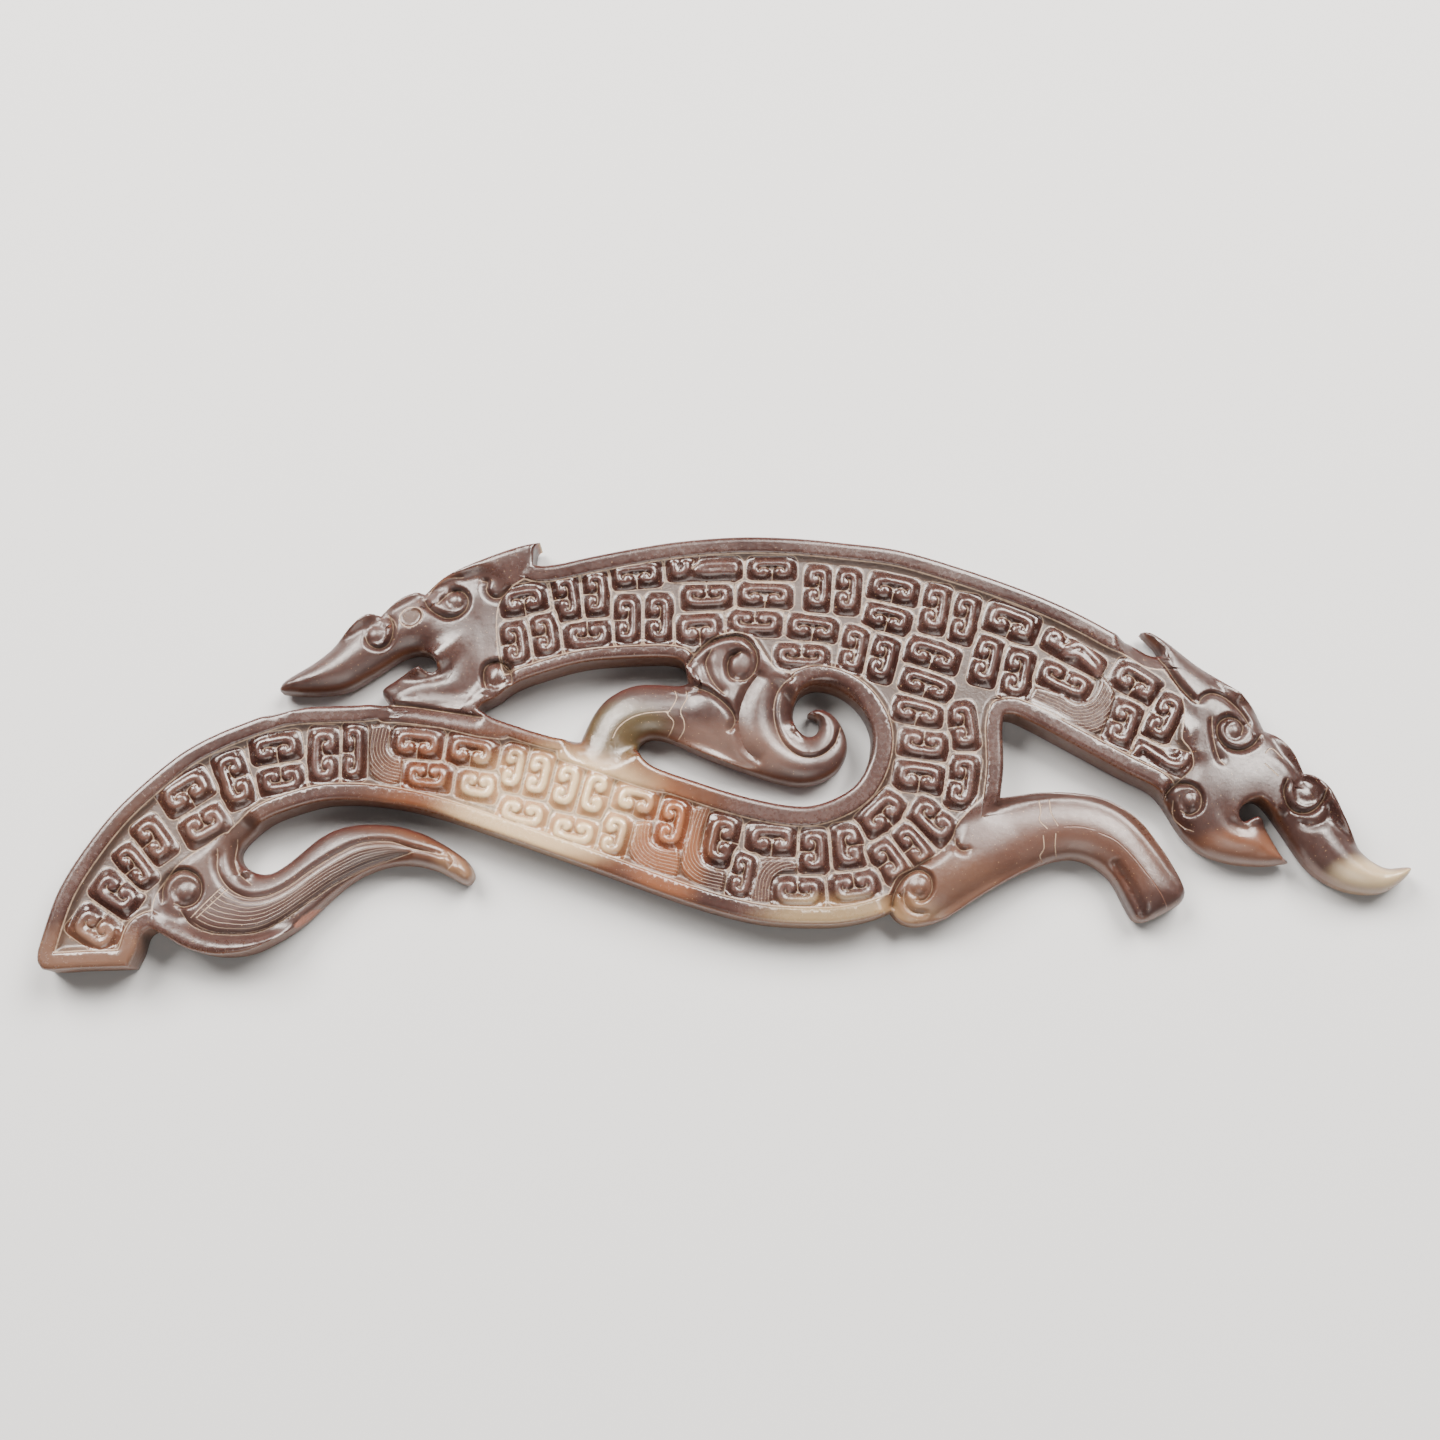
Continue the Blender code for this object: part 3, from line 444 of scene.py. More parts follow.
# %% List the scrolls
SCROLLS = {
    "tail": [
        (94, 929, 236, 48, 35), (115, 893, 236, 48, 32),
        (134, 866, 40, 48, 25), (153, 839, 37, 46, 30),
        (185, 791, 123, 52, 33), (204, 825, 300, 46, 31),
    ],
    "left arc": [
        (233, 779, 200, 56, 32), (275, 747, 100, 49, 29),
        (281, 780, 278, 45, 29), (323, 755, 180, 56, 31),
        (353, 752, 0, 56, 24), (417, 743, 85, 50, 31),
        (427, 776, 265, 46, 30), (471, 751, 80, 49, 31),
        (477, 785, 260, 41, 30), (513, 767, -12, 45, 25),
        (538, 774, -12, 45, 27), (522, 813, 258, 48, 29),
        (566, 785, -15, 46, 28), (573, 831, 258, 47, 29),
        (594, 793, 165, 45, 28), (614, 835, -15, 44, 28),
        (636, 800, 75, 43, 29), (672, 823, -12, 49, 29),
    ],
    "lower middle": [
        (721, 840, 168, 50, 32), (742, 875, -10, 46, 25),
        (772, 839, 86, 49, 31), (798, 892, 270, 50, 31),
        (814, 851, 0, 43, 29), (848, 846, 188, 44, 31),
        (855, 887, 278, 49, 31),
    ],
    "flank": [
        (882, 813, 133, 49, 31), (889, 860, 35, 44, 28),
        (914, 845, 38, 44, 24), (933, 820, 227, 50, 31),
        (920, 776, 82, 49, 31), (924, 744, 262, 48, 29),
        (918, 711, 76, 50, 26), (964, 725, 8, 48, 28),
        (963, 781, -10, 54, 30), (927, 684, 70, 52, 26),
        (933, 654, 72, 54, 29), (987, 660, -14, 50, 29),
        (1018, 673, -12, 52, 31), (1012, 622, 68, 54, 32),
    ],
    "upper body": [
        (965, 618, -12, 50, 27), (936, 608, -10, 49, 29),
        (888, 617, 75, 46, 27), (894, 588, 78, 50, 29),
        (883, 658, -15, 46, 28), (854, 649, -10, 48, 27),
        (848, 590, -5, 46, 26), (818, 587, -3, 46, 27),
        (813, 627, 82, 50, 25), (802, 656, 268, 54, 26),
        (755, 622, 268, 53, 26), (765, 594, 88, 54, 26),
        (707, 596, 272, 50, 26), (699, 628, 95, 46, 31),
        (636, 574, 95, 50, 26), (627, 619, 0, 50, 27),
        (659, 618, 0, 51, 28), (588, 635, 275, 48, 31),
        (772, 568, 90, 47, 24), (596, 593, 2, 46, 26), (567, 597, 10, 46, 26),
        (545, 634, 10, 44, 27), (515, 643, 8, 45, 27),
        (523, 599, 100, 46, 30),
    ],
    "right end": [
        (1065, 680, 245, 54, 27), (1137, 681, 58, 49, 31),
        (1124, 723, -20, 48, 31), (1165, 717, -28, 50, 29),
    ],
}
ODD_CELLS = [(704, 568, 90, 74, 24), (1074, 652, 59, 66, 23),
             (1164, 757, 250, 60, 24)]
STROKE_HALF = 0.39
STROKE_INSET = (0.80, 0.76)
CELL_MARGIN = (0.32, 0.20)
CELL_CORNER = 0.80
RIDGE_HALF = 0.12
TYPICAL_WIDTH = 31.0
BREADTH_RANGE = (0.85, 1.12)


table = np.array([row for group in SCROLLS.values() for row in group] + ODD_CELLS, float)
scrolls = len(table) - len(ODD_CELLS)
centres = on_stone(table[:, :2])
turn = np.radians(table[:, 2] - 90)
half_length = table[:, 3] * UNIT / 2
half_width = table[:, 4] * UNIT / 2


def cell_depth(places):
    """Distance into the nearest cell, less the ridge to its neighbour."""
    nearest = np.full(len(places), np.inf)
    second = np.full(len(places), np.inf)
    for centre, angle, length, width in zip(centres, turn, half_length, half_width):
        offset = places - centre
        c, s = math.cos(angle), math.sin(angle)
        u = np.abs(offset[:, 0] * c + offset[:, 1] * s) - (length + CELL_MARGIN[0] - CELL_CORNER)
        v = np.abs(offset[:, 1] * c - offset[:, 0] * s) - (width + CELL_MARGIN[1] - CELL_CORNER)
        far = np.hypot(np.maximum(u, 0), np.maximum(v, 0))
        second = np.minimum(second, np.maximum(nearest, far))
        nearest = np.minimum(nearest, far)
    return np.minimum(CELL_CORNER - nearest, (second - nearest) / 2 - RIDGE_HALF)


def scroll_places():
    """Points that carry the turn, reach and breadth of each scroll."""
    breadth = np.clip(table[:, 4] / TYPICAL_WIDTH, *BREADTH_RANGE)
    values = {
        "turn": turn,
        "stroke_length": half_length - STROKE_INSET[0] * breadth,
        "stroke_width": half_width - STROKE_INSET[1] * breadth,
        "breadth": breadth,
    }
    mesh = bpy.data.meshes.new("scroll_places")
    mesh.from_pydata([(x, y, 0.0) for x, y in centres[:scrolls]], [], [])
    for name, column in values.items():
        attribute = mesh.attributes.new(name, "FLOAT", "POINT")
        attribute.data.foreach_set("value", column[:scrolls].astype(np.float32))
    return bpy.data.objects.new("scroll_places", mesh)


helpers = bpy.data.collections.new("layout_helpers")
bpy.context.scene.collection.children.link(helpers)
places = scroll_places()
helpers.objects.link(places)
print("scrolls", len(places.data.vertices))

# %% [markdown]
# ## One scroll, drawn once
#
# All the scrolls share one stroke: a C whose two ends curl back inwards. A
# thin stem is cut in from the open side and parts into two commas inside. Both
# are drawn once in a square from -1 to 1 with the back of the C on top, and
# the points above turn and stretch them. The odd cells hold a long bar, a leaf
# and a comma, drawn in place with doubled lines where the stroke swells.

# %% Draw the scroll's stroke and stem
WIRE_STEP = 0.17
MOTIF_STEP = 0.12
C_HOOK = [(-0.50, -0.30), (-0.36, -0.64), (-0.52, -0.99), (-0.86, -0.88),
          (-1.0, -0.40), (-1.0, 0.28), (-0.86, 0.80), (-0.50, 1.01)]
C_STROKE = C_HOOK + [(0.0, 1.0)] + [(-x, y) for x, y in reversed(C_HOOK)]
C_STEM = [(0.0, -2.1), (0.02, -1.0), (0.0, -0.25), (-0.12, 0.10),
          (-0.45, 0.22), (-0.72, 0.05), (-0.74, -0.22)]
C_STEM_BRANCH = [(0.0, -0.25), (0.12, 0.12), (0.45, 0.22), (0.72, 0.02),
                 (0.72, -0.25)]
ODD_STROKES = [
    [(686, 564), (686, 569), (677, 573), (674, 565)],
    [(697, 569), (706, 565.5), (722, 564), (735, 565.5), (736, 569.5),
     (722, 570.5), (706, 571.5), (697, 569)],
    [(1049, 637), (1054, 632), (1060, 636), (1056, 643), (1049, 640)],
    [(1057, 645), (1068, 648), (1080, 643), (1092, 653), (1101, 668),
     (1101, 676), (1090, 664), (1078, 654), (1066, 654)],
    [(1134, 751), (1143, 746), (1157, 755), (1171, 764), (1181, 764),
     (1186, 757), (1189, 743), (1184, 741), (1182, 748)],
]
ODD_STEMS = [
    [(700, 553), (698, 562), (692, 568), (694, 560)],
    [(1066, 628), (1065, 636), (1071, 641), (1064, 645)],
    [(1150, 742), (1163, 748), (1170, 756)],
]
ODD_BREADTH = 1.0


def motif(name, *paths):
    """A flat curve object that holds the given paths."""
    curve = bpy.data.curves.new(name, "CURVE")
    curve.dimensions = "3D"
    for path in paths:
        smooth = smooth_line(path, MOTIF_STEP)
        spline = curve.splines.new("POLY")
        spline.points.add(len(smooth) - 1)
        for point, (x, y) in zip(spline.points, smooth):
            point.co = (x, y, 0.0, 1.0)
    drawn = bpy.data.objects.new(name, curve)
    helpers.objects.link(drawn)
    return drawn


def drawn_wire(name, paths):
    """A wire laid straight on the stone through drawn paths."""
    vertices = []
    lines = []
    for path in paths:
        placed = on_stone(smooth_line(path, WIRE_STEP / UNIT))
        first = len(vertices)
        vertices += [(x, y, 0.0) for x, y in placed]
        lines += [(first + i, first + i + 1) for i in range(len(placed) - 1)]
    mesh = bpy.data.meshes.new(name)
    mesh.from_pydata(vertices, lines, [])
    attribute = mesh.attributes.new("breadth", "FLOAT", "POINT")
    attribute.data.foreach_set("value", np.full(len(vertices), ODD_BREADTH, np.float32))
    wire = bpy.data.objects.new(name, mesh)
    helpers.objects.link(wire)
    return wire


c_stroke = motif("c_stroke", C_STROKE)
c_stem = motif("c_stem", C_STEM, C_STEM_BRANCH)
odd_strokes = drawn_wire("odd_strokes", ODD_STROKES)
odd_stems = drawn_wire("odd_stems", ODD_STEMS)
print("stroke points", len(c_stroke.data.splines[0].points))

# %% [markdown]
# ## A small helper for node trees
#
# Geometry Nodes and shaders are both trees of nodes. This helper adds a node,
# sets its options, and takes either a value or another node's output for each
# socket, so the trees below read like a recipe.

# %% Node tree helper
class Tree:
    """Adds nodes to a tree and joins them by socket name or number."""

    def __init__(self, tree):
        self.tree = tree

    def add(self, kind, options=None, inputs=None, out=0):
        """Add one node and return the chosen output socket."""
        node = self.tree.nodes.new(kind)
        for name, value in (options or {}).items():
            setattr(node, name, value)
        for key, value in (inputs or {}).items():
            socket = node.inputs[key]
            if isinstance(value, bpy.types.NodeSocket):
                self.tree.links.new(value, socket)
            else:
                socket.default_value = value
        return node.outputs[out]


def geometry_tree(name, sizes):
    """A Geometry Nodes tree with named inputs; sizes gives their types."""
    tree = bpy.data.node_groups.new(name, "GeometryNodeTree")
    tree.interface.new_socket("Geometry", in_out="INPUT", socket_type="NodeSocketGeometry")
    for label, kind in sizes.items():
        tree.interface.new_socket(label, in_out="INPUT", socket_type=kind)
    tree.interface.new_socket("Geometry", in_out="OUTPUT", socket_type="NodeSocketGeometry")
    start = tree.nodes.new("NodeGroupInput")
    finish = tree.nodes.new("NodeGroupOutput")
    return Tree(tree), start.outputs, finish.inputs


def run_tree(piece, maker, name, settings):
    """Run a tree on a piece and return the result as a plain mesh."""
    modifier = piece.modifiers.new(name, "NODES")
    modifier.node_group = maker.tree
    for socket in maker.tree.interface.items_tree:
        if socket.in_out == "INPUT" and socket.name in settings:
            modifier[socket.identifier] = settings[socket.name]
    graph = bpy.context.evaluated_depsgraph_get()
    graph.update()
    result = bpy.data.meshes.new_from_object(piece.evaluated_get(graph))
    piece.modifiers.remove(modifier)
    return result


print("node helper ready")

# %% [markdown]
# ## Lay the scrolls out
#
# The tree puts a motif on every point, turned and stretched by that point's
# values, makes the copies real and turns their curves into wires. Wires that
# were drawn in place join them. It runs once for the strokes and once for the
# stems.

# %% Build the layout tree
def layout_tree():
    """Tree that lays a motif on every point as a wire."""
    maker, given, result = geometry_tree("Lay scrolls", {
        "Motif": "NodeSocketObject", "Drawn": "NodeSocketObject",
        "Wire step": "NodeSocketFloat", "Stone": "NodeSocketMaterial"})

    def value(name):
        return maker.add("GeometryNodeInputNamedAttribute", {"data_type": "FLOAT"},
                         {"Name": name})

    turned = maker.add("ShaderNodeCombineXYZ", inputs={"Z": value("turn")})
    size = maker.add("ShaderNodeCombineXYZ", inputs={
        "X": value("stroke_length"), "Y": value("stroke_width"), "Z": 1.0})
    shape = maker.add("GeometryNodeObjectInfo", inputs={"Object": given["Motif"]},
                      out="Geometry")
    laid = maker.add("GeometryNodeInstanceOnPoints", inputs={
        "Points": given["Geometry"], "Instance": shape, "Rotation": turned,
        "Scale": size})
    real = maker.add("GeometryNodeRealizeInstances", inputs={"Geometry": laid})
    even = maker.add("GeometryNodeResampleCurve", {"mode": "LENGTH"},
                     {"Curve": real, "Length": given["Wire step"]})
    wire = maker.add("GeometryNodeCurveToMesh", inputs={"Curve": even})
    placed = maker.add("GeometryNodeObjectInfo", inputs={"Object": given["Drawn"]},
                       out="Geometry")
    joined = maker.tree.nodes.new("GeometryNodeJoinGeometry")
    for source in (wire, placed):
        maker.tree.links.new(source, joined.inputs[0])
    single = maker.add("GeometryNodeRealizeInstances",
                       inputs={"Geometry": joined.outputs[0]})
    stone = maker.add("GeometryNodeSetMaterial",
                      inputs={"Geometry": single, "Material": given["Stone"]})
    maker.tree.links.new(stone, result["Geometry"])
    return maker


mauve_jade = bpy.data.materials.new("mauve_jade")
layout = layout_tree()
wires = {}
for label, shape, drawn in (("strokes", c_stroke, odd_strokes), ("stems", c_stem, odd_stems)):
    mesh = run_tree(places, layout, label, {
        "Motif": shape, "Drawn": drawn, "Wire step": WIRE_STEP, "Stone": mauve_jade})
    wires[label] = bpy.data.objects.new(label, mesh)
    helpers.objects.link(wires[label])
    print(label, len(mesh.vertices), "points")

# %% [markdown]
# ## Curls, grooves and scratched lines
#
# The heads, shoulders and haunches carry curls that are cut with one steep and
# one sloping side, so that a round knob seems to rise from a spiral. Each cut
# is a smooth line with a depth and two widths, in drawn units: the first width
# is on the left of the line as it runs. A negative depth is a soft ridge. The
# scratched lines and cracks leave the form as it is and only mark the finish,
# apart from the eye, whose inside is sunk a little. Each knob has a radius.

# %% List the cuts
CUTS = {
    "left nose curl": ([(386, 612), (391, 622), (390.5, 634), (385, 643), (376, 646),
                        (367, 642), (363.5, 634)], 7, 7, 4),
    "left cheek curl": ([(422, 596), (426, 604), (434, 611), (445, 616),
                         (456, 614.5), (465, 607), (467, 597), (461, 589),
                         (452, 588), (447, 592)], 7.5, 7.5, 5),
    "left cheek lobe": ([(447, 592), (441, 597), (436.5, 603)], 5, 4, 4),
    "left ear hook": ([(512, 585), (498, 596), (490.5, 595), (485.5, 588.5),
                       (486.5, 580.5), (478, 579)], 5, 9, 5),
    "left ear root": ([(425, 594), (432, 585), (446, 577), (463, 576)], 3, 6, 6),
    "left jaw knob": ([(486, 688), (482.5, 676), (484.5, 665), (494, 660),
                       (505, 664), (511, 675), (511, 687)], 6.5, 4, 7),
    "left brow": ([(386, 612), (393, 619), (396, 626)], 3, 7, 7),
    "left jaw foot": ([(388, 703), (417, 706.5), (444, 711), (484, 717.5)], 5, 4, 14),
    "right ear curl": ([(1264, 733), (1256, 743), (1243, 749), (1229, 746),
                        (1220, 735), (1220, 723), (1229, 716), (1240, 718),
                        (1246, 726), (1243, 733)], 7, 6.5, 4),
    "right ear ridge": ([(1213, 716), (1215, 737), (1221, 758), (1226, 765)], 4, 7, 7),
    "right ear inner": ([(1199, 704), (1204, 696), (1213, 691.5), (1225, 694),
                         (1237, 703), (1248, 716), (1253, 726)], 5, 4, 9),
    "right horn": ([(1160, 652), (1168, 664), (1179, 681), (1190, 694),
                    (1199, 703)], 6, 7, 4),
    "right nose curl": ([(1289, 778), (1286, 791), (1290, 803), (1299, 810.5),
                         (1310, 811.5), (1320, 806), (1326, 797), (1327, 788)], 7, 7, 4),
    "right nose ring": ([(1331, 800), (1332, 811), (1326, 821), (1312, 825),
                         (1298, 819)], 3, 8, 8),
    "right cheek curl": ([(1165, 805), (1169.5, 791.5), (1180, 782.5), (1194, 784.5),
                          (1202.5, 795), (1201, 808), (1192, 813), (1183, 809)],
                         7, 4, 7),
    "right jaw line": ([(1175.5, 799), (1177.5, 814.5), (1186, 824), (1196, 830)],
                       4, 7, 7),
    "right lip": ([(1273, 799), (1283, 814.5), (1297, 831)], -0.5, 5, 5),
    "shoulder curl": ([(686, 667), (697, 651), (710, 641), (726, 636), (742, 636),
                       (753, 645), (757.5, 657), (755, 669), (748, 677),
                       (737, 680)], 6.5, 3, 8),
    "shoulder inner": ([(741, 651), (731, 654), (727.5, 664), (730, 675),
                       (737, 680)], 6.5, 5, 6),
    "shoulder outer": ([(712, 648), (706, 660), (709, 673), (716, 685),
                       (727, 695)], 4.5, 9, 4),
    "shoulder beak": ([(694, 685), (709, 691), (723, 701), (732, 711), (735, 720),
                       (731, 728), (726, 731)], 6.5, 5, 9),
    "spiral ridge": ([(775, 672), (757, 694), (751, 720), (756, 742), (778, 760)],
                     -0.5, 8, 8),
    "inside the shoulder": ([(762, 669), (749, 686), (742, 702), (739, 717),
                             (740, 733), (746, 748), (764, 762)], 5.5, 19, 9),
    "spiral groove": ([(795, 674), (780.5, 686), (774.5, 702), (775.5, 722.5),
                       (784.5, 743), (801, 755), (819, 755), (835, 743),
                       (841.5, 724.5)], 4.5, 5, 19),
    "haunch knob": ([(893, 911), (894, 898), (898, 886), (907.5, 874), (920, 869),
                     (930.5, 876), (932.5, 889), (926, 898.5), (915, 900)],
                    7, 4, 8),
    "haunch crescent": ([(905, 888), (905, 901), (914, 911), (931, 913)], 4, 6, 6),
    "haunch hook": ([(955.5, 838), (956.5, 845), (962, 850), (972, 849.5)], 5, 5, 9),
    "leg hollow": ([(1113, 858), (1128, 879), (1142, 905), (1148, 920)], 4, 9, 9),
    "tail knob": ([(161, 903), (160.5, 887), (167, 875), (182, 869), (196, 876),
                   (199.5, 889), (194, 901), (182, 906), (173, 903)],
                  7, 4, 8),
    "tail inner": ([(216, 848), (216, 870), (227, 887.5), (244.5, 896.5),
                    (264.5, 895.5), (286.5, 885.5), (308.5, 870), (337, 852.5),
                    (359, 842.5), (388, 840.5), (410, 847), (445, 854)], 4, 7, 9),
    "tail outer": ([(179, 910), (187.5, 923), (205, 931.5), (227, 934),
                    (255.5, 931.5), (282, 918.5), (304, 903), (332.5, 883),
                    (361, 868), (388, 858), (412, 850.5)], 4, 9, 7),
    "slot rim": ([(235, 838), (231.5, 859), (237, 873), (250, 884)], 3.5, 6, 6),
    "tail tip": ([(446, 850), (452, 860), (446, 868)], 3, 6, 6),
}
SCRATCHED = {
    "foreleg, first": [(674.5, 689), (676.5, 696), (670.5, 708.5), (667.5, 712.5),
                       (673.5, 720.5), (671.5, 728.5), (666.5, 736)],
    "foreleg, second": [(686, 690), (687, 696), (680.5, 710.5), (684, 720.5),
                        (684, 728.5), (678.5, 737)],
    "foreleg, along": [(665.5, 710.5), (644, 712.5), (628, 718.5), (617.5, 727.5),
                       (612.5, 737)],
    "hind leg, first": [(1040.5, 799), (1041.5, 812), (1040, 819), (1048, 828)],
    "hind leg, first foot": [(1044, 835), (1045, 848), (1041.5, 854.5), (1045, 860)],
    "hind leg, second": [(1051, 799), (1052, 812), (1058.5, 825)],
    "hind leg, second foot": [(1056.5, 833), (1056.5, 846), (1059.5, 857.5)],
    "tail root, first": [(226, 889), (211, 903), (196, 917)],
    "tail root, second": [(221.5, 886), (206, 901), (190, 917)],
    "left eye": [(398.5, 613.5), (405.5, 606.5), (418.5, 606.5), (422, 614.5),
                 (417, 622.5), (407, 626), (399.5, 621), (398.5, 613.5)],
    "right eye": [(1266, 763), (1279, 775)],
    "right eyelid": [(1267, 752), (1273, 747), (1285, 757)],
    "left jaw crease": [(391, 704), (417, 706.5), (444, 711), (481, 716.5)],
}
CRACKS = {
    "hind leg, upper": [(1065, 826), (1080, 826), (1096, 829)],
    "hind leg, middle": [(1100, 832), (1117, 840), (1136, 858.5), (1149, 875)],
    "hind leg, end": [(1152, 878), (1161.5, 892), (1171, 907)],
}
KNOBS = [(374, 631, 9), (454.5, 598, 9), (496, 673.5, 12), (1236, 729.5, 8),
         (1309, 790, 11), (1192, 800, 8), (740, 663.5, 12), (918.5, 886, 9),
         (185, 891, 10)]
CUT_STEP = 0.20


def laid_line(path):
    """A drawn path laid on the stone as a smooth traced line."""
    return Trace(on_stone(smooth_line(path, CUT_STEP / UNIT)))


cuts = {name: (laid_line(path), depth, left, right)
        for name, (path, depth, left, right) in CUTS.items()}
scratched = [laid_line(path) for path in SCRATCHED.values()]
cracks = [laid_line(path) for path in CRACKS.values()]
eye_outline = Trace(laid_line(SCRATCHED["left eye"]).points[:-1], closed=True)
print("cuts", len(cuts), "scratched lines", len(scratched))

# %% [markdown]
# ## Nested lines on the blank spots
#
# Where no scroll would fit, the carver filled the gap with a nest of fine
# parallel lines. Each nest has a patch that it fills and a guide line. The
# distance from the guide, divided by the pitch, counts the lines, and the
# finish draws a scratch at each whole number. The tail's long strands are
# counted in the same way between its two edge grooves.

# %% List the nests
NESTS = {
    "left arc": ([(368, 722.5), (392, 725.5), (389.5, 747), (393.5, 753.5),
                  (402, 756), (402, 775), (399, 784), (381, 784), (370, 776),
                  (367, 753)],
                 [(390, 722), (386, 738), (385.5, 751), (392, 759), (405, 762)]),
    "lower arc, left": ([(634, 820.5), (652, 820.5), (653, 841), (666, 847),
                         (679, 847.5), (677, 876), (650, 869), (632.5, 862),
                         (627.5, 848.5), (631, 832)],
                        [(652, 818), (649.5, 839), (655.5, 847.5), (682, 855)]),
    "lower arc, right": ([(690, 804.5), (711.5, 808.5), (703.5, 834), (702, 854),
                          (706, 862), (717, 867.5), (726, 870), (722, 893),
                          (703, 887.5), (690, 881), (680.5, 870), (681.5, 850),
                          (688.5, 823.5)],
                         [(710, 803), (701, 830), (698, 850), (703.5, 861),
                          (729, 869)]),
    "lower middle": ([(758, 859.5), (769, 856.5), (797, 859.5), (798, 871.5),
                      (783, 873), (773, 882), (771.5, 902), (748.5, 899),
                      (751.5, 883.5), (755.5, 870)],
                     [(801, 868), (783, 871), (773, 879), (769.5, 905)]),
    "right body": ([(1035, 684), (1063, 692), (1077, 700.5), (1090, 698),
                    (1099, 684), (1101, 673), (1116, 690), (1112, 712),
                    (1100.5, 733), (1072, 724), (1028, 702)],
                   [(1030, 681), (1063, 694), (1078, 701.5), (1090, 699),
                    (1098, 688), (1103, 668)]),
}
NEST_PITCH = 0.33
NEST_LIFT = 0.42
NEST_EDGE = 0.35
TAIL_STRANDS = 9

nests = [(on_stone(smooth_line(patch + patch[:1], 4)[:-1]), laid_line(guide))
         for patch, guide in NESTS.values()]
print("nests", len(nests))

# %% [markdown]
# ## How deep each cut is
#
# Jade is ground and not cut: a small wheel with wet grit leaves a wall when it
# is held upright, and a slope when it is held flat. So the narrow side of a
# cut falls steeply and the wide side runs out gently, and both fade where the
# wheel was lifted. The steep side is noted as well, because the finish paints
# shade on it.

# %% Work out the cuts
STEEP_CURVE = 1.4
SLOPING_CURVE = 2.0
STEEP_SHARE = 1.2
CUT_TAPER = 0.9
CUT_END = 0.15
FLANK_SHARE = 0.45
DEEP_CUT = 6
NEAR_REACH = 1.0


def near_line(places, line, reach):
    """Indices of the places within reach of a line's box."""
    low = line.points.min(axis=0) - reach
    high = line.points.max(axis=0) + reach
    return np.flatnonzero(((places > low) & (places < high)).all(axis=1))


def line_gap(places, lines):
    """Distance to the nearest of several lines, up to NEAR_REACH."""
    gap = np.full(len(places), NEAR_REACH)
    for line in lines:
        index = near_line(places, line, NEAR_REACH)
        gap[index] = np.minimum(gap[index], line.measure(places[index])[0])
    return gap


def cut_height(places):
    """Change of height made by the cuts and ridges, and where their steep sides get painted
    shade.
    """
    change = np.zeros(len(places))
    flank = np.zeros(len(places))
    for line, depth, left, right in cuts.values():
        index = near_line(places, line, max(left, right) * UNIT)
        gap, side, along = line.measure(places[index])
        width = np.where(side > 0, left, right) * UNIT
        steep = width < STEEP_SHARE * min(left, right) * UNIT
        rest = 1 - np.clip(gap / width, 0, 1)
        profile = rest ** np.where(steep, STEEP_CURVE, SLOPING_CURVE)
        taper = np.minimum(along, line.passed[-1] - along) / CUT_TAPER
        taper = smoothstep(taper + CUT_END)
        amount = depth * UNIT * profile * taper
        if depth > 0:
            change[index] = np.minimum(change[index], -amount)
            # This mask tells the finish where to paint shade on the steep side.
            shade = smoothstep(rest / FLANK_SHARE) * taper * steep
            shade *= min(1.0, depth / DEEP_CUT)
            flank[index] = np.maximum(flank[index], shade)
        else:
            change[index] = change[index] - amount
    return change, flank


sample = cut_height(on_stone([(374, 640), (945, 720)]))
print("cut heights", np.round(sample[0], 2))

# %% [markdown]
# ## Knobs, blank spots, swellings and the eye
#
# Cheeks, haunch and shoulder swell softly, as stone does that was ground by
# hand. Each swelling is an ellipse on the plan with its own rise. The same
# ellipse, turned and stretched, also tells where an edge by the mouths stays
# blunt. A knob is a small dome, a blank spot stands higher than the field, and
# the eye is a flat pit.

# %% Work out the soft forms
KNOB_DOME = 0.30
KNOB_FOOT = 0.5
SWELLS = [(1238, 806, 20, 56, 52, 0.50), (1342, 858, -40, 60, 26, 0.30),
          (448, 655, 60, 46, 34, 0.25), (962, 864, 33, 64, 44, 0.45),
          (716, 700, -60, 40, 26, 0.30), (668, 735, -20, 60, 26, 0.25)]
SWELL_CURVE = 1.2
BLUNTED = [(1260, 790, 30, 48, 36, 0.85), (430, 694, 10, 44, 18, 0.5)]
BLUNT_RIM = 1.6
EYE_SLOPE = 0.25


def knob_height(places):
    """Fall of the stone from the middle of each round knob to its foot."""
    fall = np.zeros(len(places))
    for x, y, radius in KNOBS:
        gap = np.linalg.norm(places - on_stone([(x, y)]), axis=1) / (radius * UNIT)
        beyond = 1 - smoothstep((gap - 1) / KNOB_FOOT)
        fall += KNOB_DOME * np.where(gap < 1, gap ** 2, beyond)
    return -fall


def nest_lift(places):
    """Rise of the blank patches above the sunk ground."""
    lift = np.zeros(len(places))
    for patch, _ in nests:
        within = inside(places, patch)
        if within.any():
            gap = Trace(patch, closed=True).measure(places[within])[0]
            lift[within] = NEST_LIFT * smoothstep(gap / NEST_EDGE)
    return lift


def ellipse_depth(places, x, y, turn, long_half, short_half):
    """How far each place lies in a drawn ellipse, 0 at its edge to 1."""
    offset = (places - on_stone([(x, y)])) / UNIT
    c, s = math.cos(math.radians(turn)), math.sin(math.radians(turn))
    u = (offset[:, 0] * c + offset[:, 1] * s) / long_half
    v = (offset[:, 1] * c - offset[:, 0] * s) / short_half
    return np.clip(1 - u ** 2 - v ** 2, 0, 1)


def swell_height(places):
    """Rise of the stone over each soft swelling."""
    rise = np.zeros(len(places))
    for *ellipse, top in SWELLS:
        rise += top * ellipse_depth(places, *ellipse) ** SWELL_CURVE
    return rise


